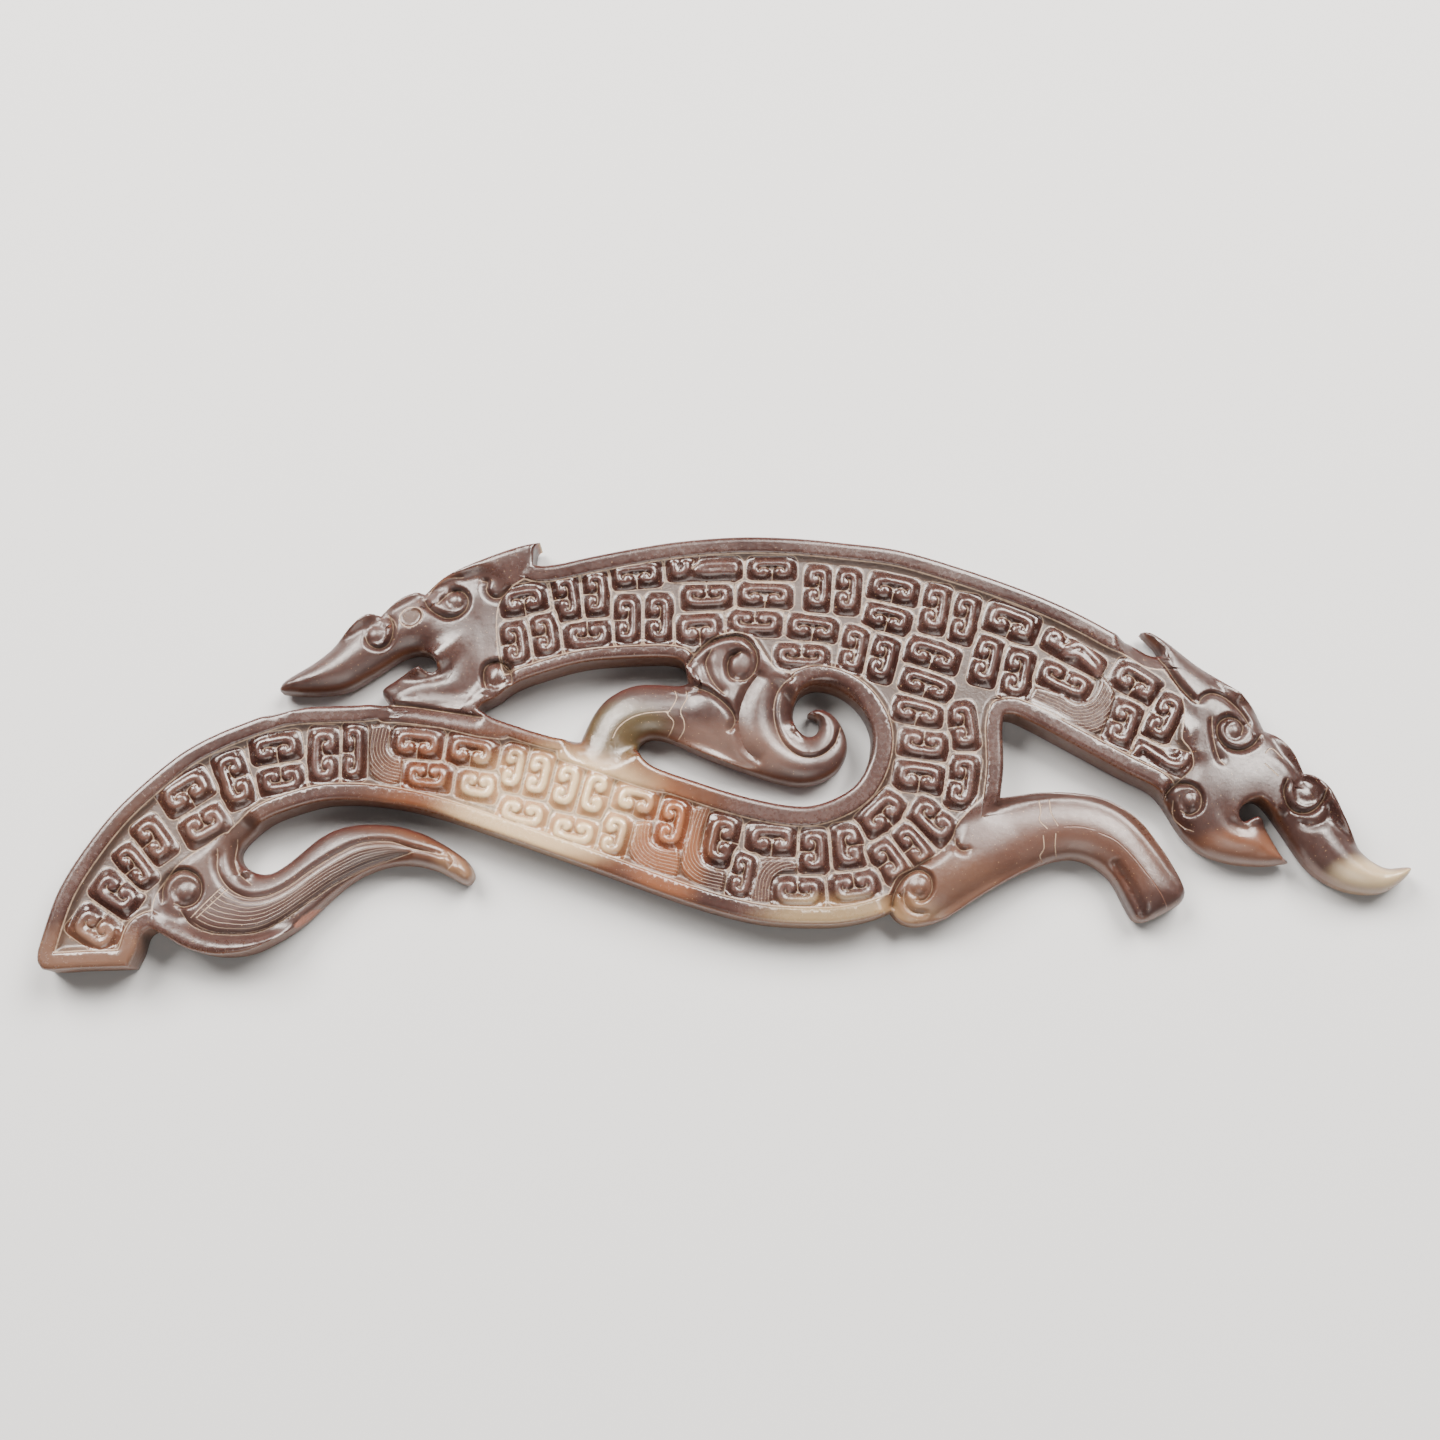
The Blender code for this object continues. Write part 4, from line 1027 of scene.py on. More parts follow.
def fall_share(places):
    """Share of the rounding that is left where a member's edge is blunt."""
    share = np.ones(len(places))
    for *ellipse, held_back in BLUNTED:
        share -= held_back * smoothstep(BLUNT_RIM * ellipse_depth(places, *ellipse))
    return share


def eye_pit(places):
    """How far each place lies in the sunk eye, 0 to 1."""
    pit = np.zeros(len(places))
    within = inside(places, eye_outline.points)
    pit[within] = smoothstep(eye_outline.measure(places[within])[0] / EYE_SLOPE)
    return pit


print("swellings", len(SWELLS), "knobs", len(KNOBS), "blunt edges", len(BLUNTED))

# %% [markdown]
# ## Height of the stone
#
# Everything above meets in one function that gives the height of the carved
# face at any place. It starts from the full thickness, rounds the edges,
# sinks the field, and adds the cuts, ridges, knobs and nests in turn. The chip
# on the tail and the eye are sunk last. The scrolls are left out here, because
# Geometry Nodes raise them later.

# %% Work out heights
EDGE_RADIUS = 0.5
EDGE_DROP = 0.5
LIMB_RADIUS = 3.9
LIMB_DROP = 2.2
LIMB_SINK = 0.35
SLOPE_CURVE = 1.4
DARK_STEP = 0.75
STEP_SHARE = 0.30
GROUND_EASE = 0.60
GROUND_DEPTH = 0.66
CALM_EDGE = 0.5
CHIP = (307, 917, 34, 19, 6)
CHIP_DEPTH = 0.45
EYE_DEPTH = 0.26


def measure_stone(places):
    """Height and the named distances of every place."""
    weight = limb_weight(places)
    edge = edge_gap(places)
    gap = edge.copy()
    gap[weight > 0] = soft_gap(places[weight > 0])
    field, slope = field_limits(places)
    flat_top = THICKNESS - EDGE_DROP * (1 - dome(edge / EDGE_RADIUS))
    fall = LIMB_DROP * fall_share(places) * (1 - dome(gap / LIMB_RADIUS))
    round_top = flat_top - LIMB_SINK - fall
    round_top += swell_height(places)
    share = STEP_SHARE + (1 - STEP_SHARE) * weight
    sunk = share + (1 - share) * smoothstep(field / GROUND_EASE)
    beside = np.clip(1 + field / slope, 0, 1) ** SLOPE_CURVE
    border = flat_top - GROUND_DEPTH * STEP_SHARE * beside
    member = round_top + (flat_top - GROUND_DEPTH - round_top) * beside
    outside = border + (member - border) * weight
    carved, flank = cut_height(places)
    scoop = ellipse_depth(places, *CHIP)
    height = np.where(field > 0, flat_top - GROUND_DEPTH * sunk, outside)
    height += nest_lift(places) * (field > 0) * sunk
    height += (carved + knob_height(places)) * smoothstep(edge / CALM_EDGE)
    height -= CHIP_DEPTH * np.sqrt(scoop)
    pit = eye_pit(places)
    if pit.any():
        height += (height[pit > 0].mean() - EYE_DEPTH - height) * pit
    # The foot of each member's slope, up to DARK_STEP wide, joins the steep mask, where the
    # finish paints shade.
    step = weight * (field <= 0) * smoothstep(1 + field / np.minimum(slope, DARK_STEP))
    return {"height": height, "ceiling": flat_top, "edge": edge, "field": field,
            "limb": weight, "chip": scoop, "steep": np.maximum(flank, step),
            "cell": cell_depth(places), "pit": pit}


sample = measure_stone(on_stone([(945, 720), (100, 800), (1100, 835)]))
print("heights", np.round(sample["height"], 2))

# %% [markdown]
# ## A net that follows the carving
#
# The skin is a net of triangles. Points lie in an even lattice, closer in the
# field and along each mark, and chains of points follow the outline, the
# border, the cells, the scrolls' strokes and every cut. A constrained Delaunay
# net keeps those chains as edges, so each carved line stays crisp with fewer
# triangles. No primitive or modifier gives such a net, so it is built here.

# %% Make the net's tools
MERGE = 1e-5
SHARPEST = 0.6
SHORTEST = 1e-6


class Net:
    """Points on the plan and the chains that join them."""

    def __init__(self):
        self.points = []
        self.lines = []

    def add(self, points, closed=False, joined=True):
        """Add points, chained in order when they are joined."""
        first = len(self.points)
        self.points += [(float(x), float(y)) for x, y in points]
        indices = list(range(first, len(self.points)))
        if joined:
            self.lines += list(zip(indices[:-1], indices[1:]))
        if joined and closed:
            self.lines.append((indices[-1], indices[0]))

    def add_ring(self, ring, clear):
        """Add a closed ring, broken wherever a point isn't clear."""
        first = len(self.points)
        self.add(ring[clear], joined=False)
        number = first + np.cumsum(clear) - 1
        follows = clear & np.roll(clear, -1)
        self.lines += [(int(number[i]), int(number[(i + 1) % len(ring)]))
                       for i in np.flatnonzero(follows)]

    def add_wire(self, mesh):
        """Add a wire's own points and edges."""
        first = len(self.points)
        self.points += [(v.co.x, v.co.y) for v in mesh.vertices]
        self.lines += [(first + e.vertices[0], first + e.vertices[1]) for e in mesh.edges]

    def keep(self, wanted, fixed):
        """Drop the points that aren't wanted, with their lines."""
        wanted[:fixed] = True
        number = np.cumsum(wanted) - 1
        self.points = [p for p, good in zip(self.points, wanted) if good]
        self.lines = [(int(number[a]), int(number[b])) for a, b in self.lines
                      if wanted[a] and wanted[b]]

    def triangles(self):
        """Triangulate the part of the net that lies on the plate."""
        spots, _, faces, _, _, _ = delaunay_2d_cdt(
            [Vector(p) for p in self.points], self.lines, [], 0, MERGE)
        spots = np.array([tuple(spot) for spot in spots])
        faces = np.array([tuple(face) for face in faces])
        middle = spots[faces].mean(axis=1)
        good = inside(middle, loops[0])
        for opening in loops[1:]:
            good &= ~inside(middle, opening)
        return spots, faces[good]


def lattice(spacing):
    """An even triangular lattice of points over the plate's box."""
    low, high = loops[0].min(axis=0), loops[0].max(axis=0)
    x, y = np.meshgrid(np.arange(low[0], high[0], spacing),
                       np.arange(low[1], high[1], spacing * math.sqrt(0.75)))
    x[1::2] += spacing / 2
    return np.column_stack([x.ravel(), y.ravel()])


def inward(loop, inset):
    """Each point of a loop moved into the stone."""
    before = loop - np.roll(loop, 1, axis=0)
    after = np.roll(loop, -1, axis=0) - loop
    before /= np.linalg.norm(before, axis=1)[:, None]
    after /= np.linalg.norm(after, axis=1)[:, None]
    tangent = before + after
    size = np.maximum(np.linalg.norm(tangent, axis=1), SHORTEST)
    tangent /= size[:, None]
    normal = np.column_stack([-tangent[:, 1], tangent[:, 0]])
    return loop + normal * (inset / np.maximum(size / 2, SHARPEST))[:, None]


def on_plate(points):
    """Whether points lie on the plate."""
    good = inside(points, loops[0])
    for opening in loops[1:]:
        good &= ~inside(points, opening)
    return good


def spread(points, others, gap):
    """Whether each point keeps its distance from all the others."""
    tree = KDTree(len(others))
    for index, (x, y) in enumerate(others):
        tree.insert((x, y, 0.0), index)
    tree.balance()
    return np.array([tree.find((x, y, 0.0))[2] for x, y in points]) > gap


print("lattice of 1 mm", on_plate(lattice(1.0)).sum(), "points")

# %% [markdown]
# ## Lay the chains and points
#
# Rings follow the outline at a few insets, so that the rounded edge has enough
# rows, and the border has a ring on both sides of its step. Each cell has a
# ring where its flank starts, and each stroke has points along both edges of
# its top. Lattice points fill what is left, and keep clear of the chains so
# that no triangle turns into a sliver.

# %% Lay out the net
FINE = 0.21
COARSE = 0.40
CORNER_STEPS = 6
EDGE_RINGS = (0.07, 0.20, 0.40, 0.66)
BORDER_RINGS = (-0.12, 0.02)
LIMB_RINGS = (0.95, 1.30)
FLANK_RINGS = (0.0, 0.20)
RING_CLEAR = 0.93
LIMB_RING_CLEAR = 0.95
LIMB_FROM = 0.3
CELL_RING_CLEAR = 0.05
CELL_RING_SLACK = 0.03
CHAIN_EDGE = 0.05
FIELD_EDGE = -0.3
MARK_REACH = 0.9
FINE_EDGE = 0.3
COARSE_EDGE = 0.45
RIM_GAP = 0.35 * FINE
FINE_GAP = 0.55 * FINE
COARSE_GAP = 0.5 * COARSE


def cell_rings(inset):
    """The rounded outline of every cell, moved in, in plan millimetres."""
    bends = np.radians(np.linspace(0, 90, CORNER_STEPS))
    bend = CELL_CORNER - inset
    rings = []
    for centre, angle, half, wide in zip(centres, turn, half_length, half_width):
        length = half + CELL_MARGIN[0] - CELL_CORNER
        width = wide + CELL_MARGIN[1] - CELL_CORNER
        u = np.concatenate([sign * (length + bend * np.cos(bends))[::order]
                            for sign, order in ((1, 1), (-1, -1), (-1, 1), (1, -1))])
        v = np.concatenate([sign * (width + bend * np.sin(bends))[::order]
                            for sign, order in ((1, 1), (1, -1), (-1, 1), (-1, -1))])
        c, s = math.cos(angle), math.sin(angle)
        knots = centre + np.column_stack([c * u - s * v, s * u + c * v])
        ring = []
        for a, b in zip(knots, np.roll(knots, -1, axis=0)):
            count = max(1, int(round(np.linalg.norm(b - a) / FINE)))
            ring += [a + (b - a) * step / count for step in range(count)]
        rings.append(np.array(ring))
    return rings


def stroke_rims(mesh):
    """Points along both edges of every stroke's flat top."""
    spots = np.array([tuple(v.co)[:2] for v in mesh.vertices])
    ends = np.array([tuple(e.vertices) for e in mesh.edges])
    breadth = np.empty(len(spots), np.float32)
    mesh.attributes["breadth"].data.foreach_get("value", breadth)
    middle = spots[ends].mean(axis=1)
    run = spots[ends[:, 1]] - spots[ends[:, 0]]
    run /= np.linalg.norm(run, axis=1)[:, None]
    offset = np.column_stack([-run[:, 1], run[:, 0]]) * STROKE_HALF
    offset *= breadth[ends[:, 0]][:, None]
    rims = np.vstack([middle + offset, middle - offset])
    return rims[spread(rims, spots, RING_CLEAR * STROKE_HALF * breadth.min())]


def carved_net():
    """The net of the carved face."""
    net = Net()
    for loop in loops:
        net.add(loop, closed=True)
    fixed = len(net.points)
    for loop, border in zip(loops, BORDERS):
        for inset in EDGE_RINGS + tuple(border + beside for beside in BORDER_RINGS):
            ring = inward(loop, inset)
            net.add_ring(ring, (edge_gap(ring) > RING_CLEAR * inset) & on_plate(ring))
        for inset in LIMB_RINGS:
            ring = inward(loop, inset)[::2]
            clear = (edge_gap(ring) > LIMB_RING_CLEAR * inset) & on_plate(ring)
            net.add(ring[clear & (limb_weight(ring) > LIMB_FROM)], joined=False)
    for cut, _ in field_cuts:
        net.add(cut.points, closed=True)
    cut_lines = [line for line, *_ in cuts.values()]
    for line in cut_lines + scratched + cracks:
        net.add(line.points)
    for inset in FLANK_RINGS:
        for ring in cell_rings(inset):
            shown = cell_depth(ring) > inset - CELL_RING_SLACK
            net.add_ring(ring, shown & (field_depth(ring) > CELL_RING_CLEAR))
    net.add_wire(wires["strokes"].data)
    net.add_wire(wires["stems"].data)
    points = np.array(net.points)
    net.keep(on_plate(points) & (edge_gap(points) > CHAIN_EDGE), fixed)
    rims = stroke_rims(wires["strokes"].data)
    rims = rims[on_plate(rims)]
    net.add(rims[spread(rims, net.points, RIM_GAP)], joined=False)

    fine = lattice(FINE)
    fine = fine[on_plate(fine)]
    marks = cut_lines + scratched
    fine = fine[(field_depth(fine) > FIELD_EDGE) | (line_gap(fine, marks) < MARK_REACH)]
    fine = fine[(edge_gap(fine) > FINE_EDGE) & spread(fine, net.points, FINE_GAP)]
    coarse = lattice(COARSE)
    coarse = coarse[on_plate(coarse)]
    coarse = coarse[(edge_gap(coarse) > COARSE_EDGE) & (field_depth(coarse) <= FIELD_EDGE)]
    coarse = coarse[line_gap(coarse, marks) >= MARK_REACH]
    coarse = coarse[spread(coarse, net.points, COARSE_GAP)]
    net.add(fine, joined=False)
    net.add(coarse, joined=False)
    return net


net = carved_net()
spots, faces = net.triangles()
print("carved face", len(spots), "points", len(faces), "triangles")

# %% [markdown]
# ## Count the fine lines
#
# The tail's long strands and the nests on the blank spots are only scratches,
# so they are no part of the form. Each point gets a number that grows by one
# from line to line, and a share that tells whether the lines are cut there.

# %% Number the strands
STRAND_REACH = 4.0
STRAND_SPAN = 7.5
STRAND_FADE = ((1.6, 0.8), (3.5, 1.0), (0.4, 3.0))
NEST_FADE = 0.3
LEAST_SPAN = 0.1


def grain_values(places):
    """Line count of the nests and tail strands, and where they are cut."""
    phase = np.zeros(len(places))
    where = np.zeros(len(places))
    for patch, guide in nests:
        index = np.flatnonzero(inside(places, patch))
        phase[index] = guide.measure(places[index])[0] / NEST_PITCH
        gap = Trace(patch, closed=True).measure(places[index])[0]
        where[index] = smoothstep(gap / NEST_FADE)
    inner, outer = cuts["tail inner"][0], cuts["tail outer"][0]
    index = near_line(places, outer, STRAND_REACH)
    gap_in, side_in, along_in = inner.measure(places[index])
    gap_out, side_out, along_out = outer.measure(places[index])
    between = (side_in < 0) & (side_out > 0) & (gap_in + gap_out < STRAND_SPAN)
    shown = np.ones(len(index))
    runs = (along_out, along_in, outer.passed[-1] - along_out)
    for run, (start, fade) in zip(runs, STRAND_FADE):
        shown *= smoothstep((run - start) / fade)
    strand = TAIL_STRANDS * gap_in / np.maximum(gap_in + gap_out, LEAST_SPAN)
    chosen = index[between]
    phase[chosen] = strand[between]
    where[chosen] = shown[between]
    return phase, where


phase, where = grain_values(spots)
print("points with fine lines", int((where > 0).sum()))

# %% [markdown]
# ## Close the skin
#
# The carved face, an upright wall and a plain polished back make one closed
# skin. The back is flat with a small bevel and needs few triangles. Each
# point keeps its distances as named values for the finish to use later.

# %% Build the plate's skin
BACK_BEVEL = 0.4
LIMB_BACK_BEVEL = 0.8
BACK_STEP = 1.6
BACK_CLEAR = 1.1
BACK_RING_CLEAR = 0.9
WALL_ROWS = 3
SOFT_CUT = 8


def back_net():
    """The net of the plain back."""
    net = Net()
    for loop in loops:
        net.add(loop, closed=True)
    fixed = len(net.points)
    for loop in loops:
        bevel = BACK_BEVEL + (LIMB_BACK_BEVEL - BACK_BEVEL) * limb_weight(loop)
        ring = inward(loop, bevel)
        net.add(ring[edge_gap(ring) > BACK_RING_CLEAR * bevel.min()], joined=False)
    even = lattice(BACK_STEP)
    even = even[on_plate(even)]
    net.add(even[edge_gap(even) > BACK_CLEAR], joined=False)
    net.keep(on_plate(np.array(net.points)), fixed)
    return net.triangles()


def build_skin(spots, faces):
    """Join face, wall and back into one mesh, in millimetres."""
    values = measure_stone(spots)
    rim = sum(len(loop) for loop in loops)
    back_spots, back_faces = back_net()
    bevel = BACK_BEVEL + (LIMB_BACK_BEVEL - BACK_BEVEL) * limb_weight(back_spots)
    lift = bevel * (1 - dome(edge_gap(back_spots) / bevel))
    top = np.column_stack([spots, values["height"]])
    rear = np.column_stack([back_spots, lift])
    rows = []
    for row in range(1, WALL_ROWS):
        share = row / WALL_ROWS
        height = top[:rim, 2] * (1 - share) + rear[:rim, 2] * share
        rows.append(np.column_stack([spots[:rim], height]))
    vertices = np.vstack([top] + rows + [rear])
    starts = [0] + [len(top) + rim * row for row in range(WALL_ROWS)]
    shift = starts[-1]
    polygons = [tuple(face) for face in faces]
    polygons += [tuple(index + shift for index in reversed(face)) for face in back_faces]
    for upper, lower in zip(starts[:-1], starts[1:]):
        first = 0
        for loop in loops:
            for i in range(len(loop)):
                a, b = first + i, first + (i + 1) % len(loop)
                polygons.append((upper + b, upper + a, lower + a, lower + b))
            first += len(loop)
    mesh = bpy.data.meshes.new("jade_skin")
    mesh.from_pydata([tuple(map(float, v)) for v in vertices], [],
                     [tuple(map(int, p)) for p in polygons])
    cut_lines = [line for line, depth, left, right in cuts.values()
                 if depth > 0 and min(left, right) < SOFT_CUT]
    extra = {
        "edge": values["edge"], "field": values["field"], "limb": values["limb"],
        "chip": values["chip"], "steep": values["steep"], "cell": values["cell"],
        "pit": values["pit"],
        "ceiling": values["ceiling"], "grain": phase, "grain_where": where,
        "scratched": line_gap(spots, scratched), "crack": line_gap(spots, cracks),
        "cut": line_gap(spots, cut_lines),
    }
    blanks = {"edge": 0.0, "field": -3.0, "limb": 0.5, "chip": 0.0, "steep": 0.0,
              "cell": -1.0, "pit": 0.0, "ceiling": 0.0, "grain": 0.0,
              "grain_where": 0.0, "scratched": 1.0, "crack": 1.0, "cut": 1.0}
    for name, column in extra.items():
        full = np.full(len(vertices), blanks[name], np.float32)
        full[:len(spots)] = column
        attribute = mesh.attributes.new(name, "FLOAT", "POINT")
        attribute.data.foreach_set("value", full)
    return mesh


skin_mesh = build_skin(spots, faces)
skin = bpy.data.objects.new("jade_skin", skin_mesh)
helpers.objects.link(skin)
print("skin", len(skin_mesh.vertices), "points", len(skin_mesh.polygons), "faces")

# %% [markdown]
# ## Raise the scrolls
#
# A scroll's height depends on two things only: how far a place is from the
# stroke's middle, and how far it lies inside its cell. On the stroke the stone
# keeps its full height and rounds over, and from there a flank falls to the
# cell's outline. Each top leans outward a little, which is what makes a carved
# scroll glint. The Geometry Proximity node gives the first distance, so the
# whole field is carved in one step, and it is stored for the finish.

# %% Build the carving tree
CROWN = 0.11
TILT = 0.26
VALLEY = 0.55
VALLEY_WIDTH = 0.22
STEM_HALF = 0.14
STEM_DEPTH = 0.14
HAND_WAVER = 0.03
SHARP_ANGLE = math.radians(62)


def carving_tree():
    """Tree that raises the scrolls in their cells and cuts their stems."""
    maker, given, result = geometry_tree("Raise scrolls", {
        "Strokes": "NodeSocketObject", "Stems": "NodeSocketObject",
        "Stroke half": "NodeSocketFloat",
        "Corner": "NodeSocketFloat", "Crown": "NodeSocketFloat",
        "Tilt": "NodeSocketFloat",
        "Valley": "NodeSocketFloat", "Valley width": "NodeSocketFloat",
        "Stem half": "NodeSocketFloat", "Stem depth": "NodeSocketFloat",
        "Waver": "NodeSocketFloat", "Stone": "NodeSocketMaterial"})

    def math_node(operation, a, b=0.0, c=0.0):
        return maker.add("ShaderNodeMath", {"operation": operation}, {0: a, 1: b, 2: c})

    def kept_value(name):
        return maker.add("GeometryNodeInputNamedAttribute", {"data_type": "FLOAT"},
                         {"Name": name})

    def ease(value, start, end, low=0.0, high=1.0, kind="SMOOTHSTEP"):
        return maker.add("ShaderNodeMapRange", {"interpolation_type": kind}, {
            "Value": value, "From Min": start, "From Max": end,
            "To Min": low, "To Max": high})

    place = maker.add("GeometryNodeInputPosition")
    flat = maker.add("ShaderNodeVectorMath", {"operation": "MULTIPLY"},
                     {0: place, 1: (1.0, 1.0, 0.0)})
    now = maker.add("ShaderNodeSeparateXYZ", inputs={0: place}, out="Z")
    gaps = {}
    sources = {}
    for label in ("Strokes", "Stems"):
        sources[label] = maker.add("GeometryNodeObjectInfo",
                                   inputs={"Object": given[label]}, out="Geometry")
        gaps[label] = maker.add("GeometryNodeProximity", {"target_element": "EDGES"},
                                {"Geometry": sources[label], "Sample Position": flat},
                                out="Distance")
    nearest = maker.add("GeometryNodeSampleNearest", {"domain": "POINT"},
                        {"Geometry": sources["Strokes"], "Sample Position": flat})
    breadth = maker.add("GeometryNodeSampleIndex", {"data_type": "FLOAT", "domain": "POINT"},
                        {"Geometry": sources["Strokes"], "Value": kept_value("breadth"),
                         "Index": nearest})
    gap = math_node("DIVIDE", gaps["Strokes"], breadth)
    cell = kept_value("cell")
    within = math_node("MAXIMUM", cell, 0.0)
    beyond = math_node("MAXIMUM", math_node("SUBTRACT", gap, given["Stroke half"]), 0.0)
    slope = math_node("DIVIDE", within, math_node("ADD", math_node("ADD", within, beyond),
                                                  0.0001))
    flank = math_node("MULTIPLY", math_node("ADD", slope, ease(slope, 0.0, 1.0)), 0.5)
    deep_inside = ease(cell, math_node("MULTIPLY", given["Corner"], 0.7), given["Corner"])
    hollow = math_node("MULTIPLY", ease(beyond, 0.0, given["Valley width"]), deep_inside)
    hollow = math_node("MULTIPLY", hollow, given["Valley"])
    share = math_node("MINIMUM", flank, math_node("SUBTRACT", 1.0, hollow))
    share = math_node("MULTIPLY", share, ease(kept_value("field"), 0.0, 0.15))
    across = math_node("MINIMUM", math_node("DIVIDE", gap, given["Stroke half"]), 1.0)
    hump = math_node("SQRT", math_node("SUBTRACT", 1.0, math_node("MULTIPLY", across, across)))
    rounded = math_node("MULTIPLY", math_node("SUBTRACT", 1.0, hump), given["Crown"])
    outward = math_node("SUBTRACT", 1.0, math_node("DIVIDE", within, given["Corner"]))
    tilted = math_node("MULTIPLY", math_node("MAXIMUM", outward, 0.0), given["Tilt"])
    rounded = math_node("ADD", rounded, tilted)
    stem = ease(gaps["Stems"], given["Stem half"], 0.0, 0.0, given["Stem depth"], "LINEAR")
    top = math_node("SUBTRACT", kept_value("ceiling"), math_node("ADD", rounded, stem))
    lift = math_node("MULTIPLY", share, math_node("SUBTRACT", top, now))
    waver = maker.add("ShaderNodeTexNoise", {"noise_dimensions": "3D"},
                      {"Vector": flat, "Scale": 0.9, "Detail": 2.0}, out=0)
    uneven = math_node("MULTIPLY", math_node("SUBTRACT", waver, 0.8), given["Waver"])
    calm = ease(kept_value("edge"), 0.2, 1.2)
    total = math_node("ADD", lift, math_node("MULTIPLY", uneven, calm))
    offset = maker.add("ShaderNodeCombineXYZ", inputs={"Z": total})
    carved = maker.add("GeometryNodeSetPosition", inputs={
        "Geometry": given["Geometry"], "Offset": offset})
    for name, column in (("stroke", gap), ("stem", gaps["Stems"])):
        carved = maker.add("GeometryNodeStoreNamedAttribute",
                           {"data_type": "FLOAT", "domain": "POINT"},
                           {"Geometry": carved, "Name": name, "Value": column})
    real = maker.add("GeometryNodeRealizeInstances", inputs={"Geometry": carved})
    stone = maker.add("GeometryNodeSetMaterial",
                      inputs={"Geometry": real, "Material": given["Stone"]})
    maker.tree.links.new(stone, result["Geometry"])
    return maker


carved_mesh = run_tree(skin, carving_tree(), "carve", {
    "Strokes": wires["strokes"], "Stems": wires["stems"],
    "Stroke half": STROKE_HALF, "Corner": CELL_CORNER,
    "Crown": CROWN, "Tilt": TILT, "Valley": VALLEY, "Valley width": VALLEY_WIDTH,
    "Stem half": STEM_HALF, "Stem depth": STEM_DEPTH,
    "Waver": HAND_WAVER, "Stone": mauve_jade})
carved_mesh.transform(Matrix.Scale(0.001, 4))
carved_mesh.shade_smooth()
carved_mesh.set_sharp_from_angle(angle=SHARP_ANGLE)
pendant = bpy.data.objects.new("carved_pendant", carved_mesh)
bpy.context.scene.collection.objects.link(pendant)
for helper in list(helpers.objects):
    bpy.data.objects.remove(helper, do_unlink=True)
bpy.data.collections.remove(helpers)
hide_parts("jade_pendant")
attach(pendant, "root")
triangles = sum(len(p.vertices) - 2 for p in carved_mesh.polygons)
print("carved pendant", triangles, "triangles", [round(1000 * s, 2) for s in pendant.dimensions])

# %% [markdown]
# ## Shader sums written as plain sums
#
# The finish mixes many masks. This class wraps a socket, so that a sum such as
# 1 - mask adds the Math nodes for us and the recipe stays readable.

# %% Shader helper
mauve_jade.use_nodes = True
finish_tree = Tree(mauve_jade.node_tree)
surface = mauve_jade.node_tree.nodes["Principled BSDF"]


class Mask:
    """A value in the shader that can be used in sums."""

    def __init__(self, socket):
        self.socket = socket

    def sum(self, operation, a, b):
        """Add a Math node for one step of a sum."""
        values = [v.socket if isinstance(v, Mask) else float(v) for v in (a, b)]
        return Mask(finish_tree.add("ShaderNodeMath", {"operation": operation},
                                    {0: values[0], 1: values[1]}))

    def __add__(self, other):
        return self.sum("ADD", self, other)

    __radd__ = __add__

    def __sub__(self, other):
        return self.sum("SUBTRACT", self, other)

    def __rsub__(self, other):
        return self.sum("SUBTRACT", other, self)

    def __mul__(self, other):
        return self.sum("MULTIPLY", self, other)

    __rmul__ = __mul__

    def at_most(self, other):
        """The smaller of the two."""
        return self.sum("MINIMUM", self, other)

    def at_least(self, other):
        """The larger of the two."""
        return self.sum("MAXIMUM", self, other)

    def ramp(self, start, end, low=0.0, high=1.0):
        """Ease from low to high as the value goes from start to end."""
        return Mask(finish_tree.add(
            "ShaderNodeMapRange", {"interpolation_type": "SMOOTHSTEP"},
            {"Value": self.socket, "From Min": start, "From Max": end,
             "To Min": low, "To Max": high}))


def kept(name):
    """A named distance that the skin carries."""
    return Mask(finish_tree.add("ShaderNodeAttribute", {"attribute_name": name}, out="Fac"))


def mix(mask, below, above, blend="MIX"):
    """Lay one colour over another where the mask is high."""
    node = mauve_jade.node_tree.nodes.new("ShaderNodeMix")
    node.data_type = "RGBA"
    node.blend_type = blend
    mauve_jade.node_tree.links.new(mask.socket, node.inputs[0])
    for socket, colour in ((node.inputs[6], below), (node.inputs[7], above)):
        if isinstance(colour, bpy.types.NodeSocket):
            mauve_jade.node_tree.links.new(colour, socket)
        else:
            socket.default_value = (*colour, 1.0)
    return node.outputs[2]


ground_place = finish_tree.add("ShaderNodeTexCoord", out="Object")


def noise(scale, detail=3.0, rough=0.55, stretch=(1.0, 1.0, 1.0)):
    """Cloudy noise, with its scale in clouds to the metre."""
    place = finish_tree.add("ShaderNodeVectorMath", {"operation": "MULTIPLY"},
                            {0: ground_place, 1: stretch})
    return Mask(finish_tree.add("ShaderNodeTexNoise", {"noise_dimensions": "3D"},
                                {"Vector": place, "Scale": scale, "Detail": detail,
                                 "Roughness": rough}, out=0))


print("shader helper ready")

# %% [markdown]
# ## The colours of the stone
#
# The stone is mauve to purple brown. A honey and cream vein crosses the lower
# arc, the forefoot is olive, and the snout's tip is cream. Each patch is a
# soft ellipse whose edge is broken up by noise, so it reads as a vein inside
# the stone and not as paint.

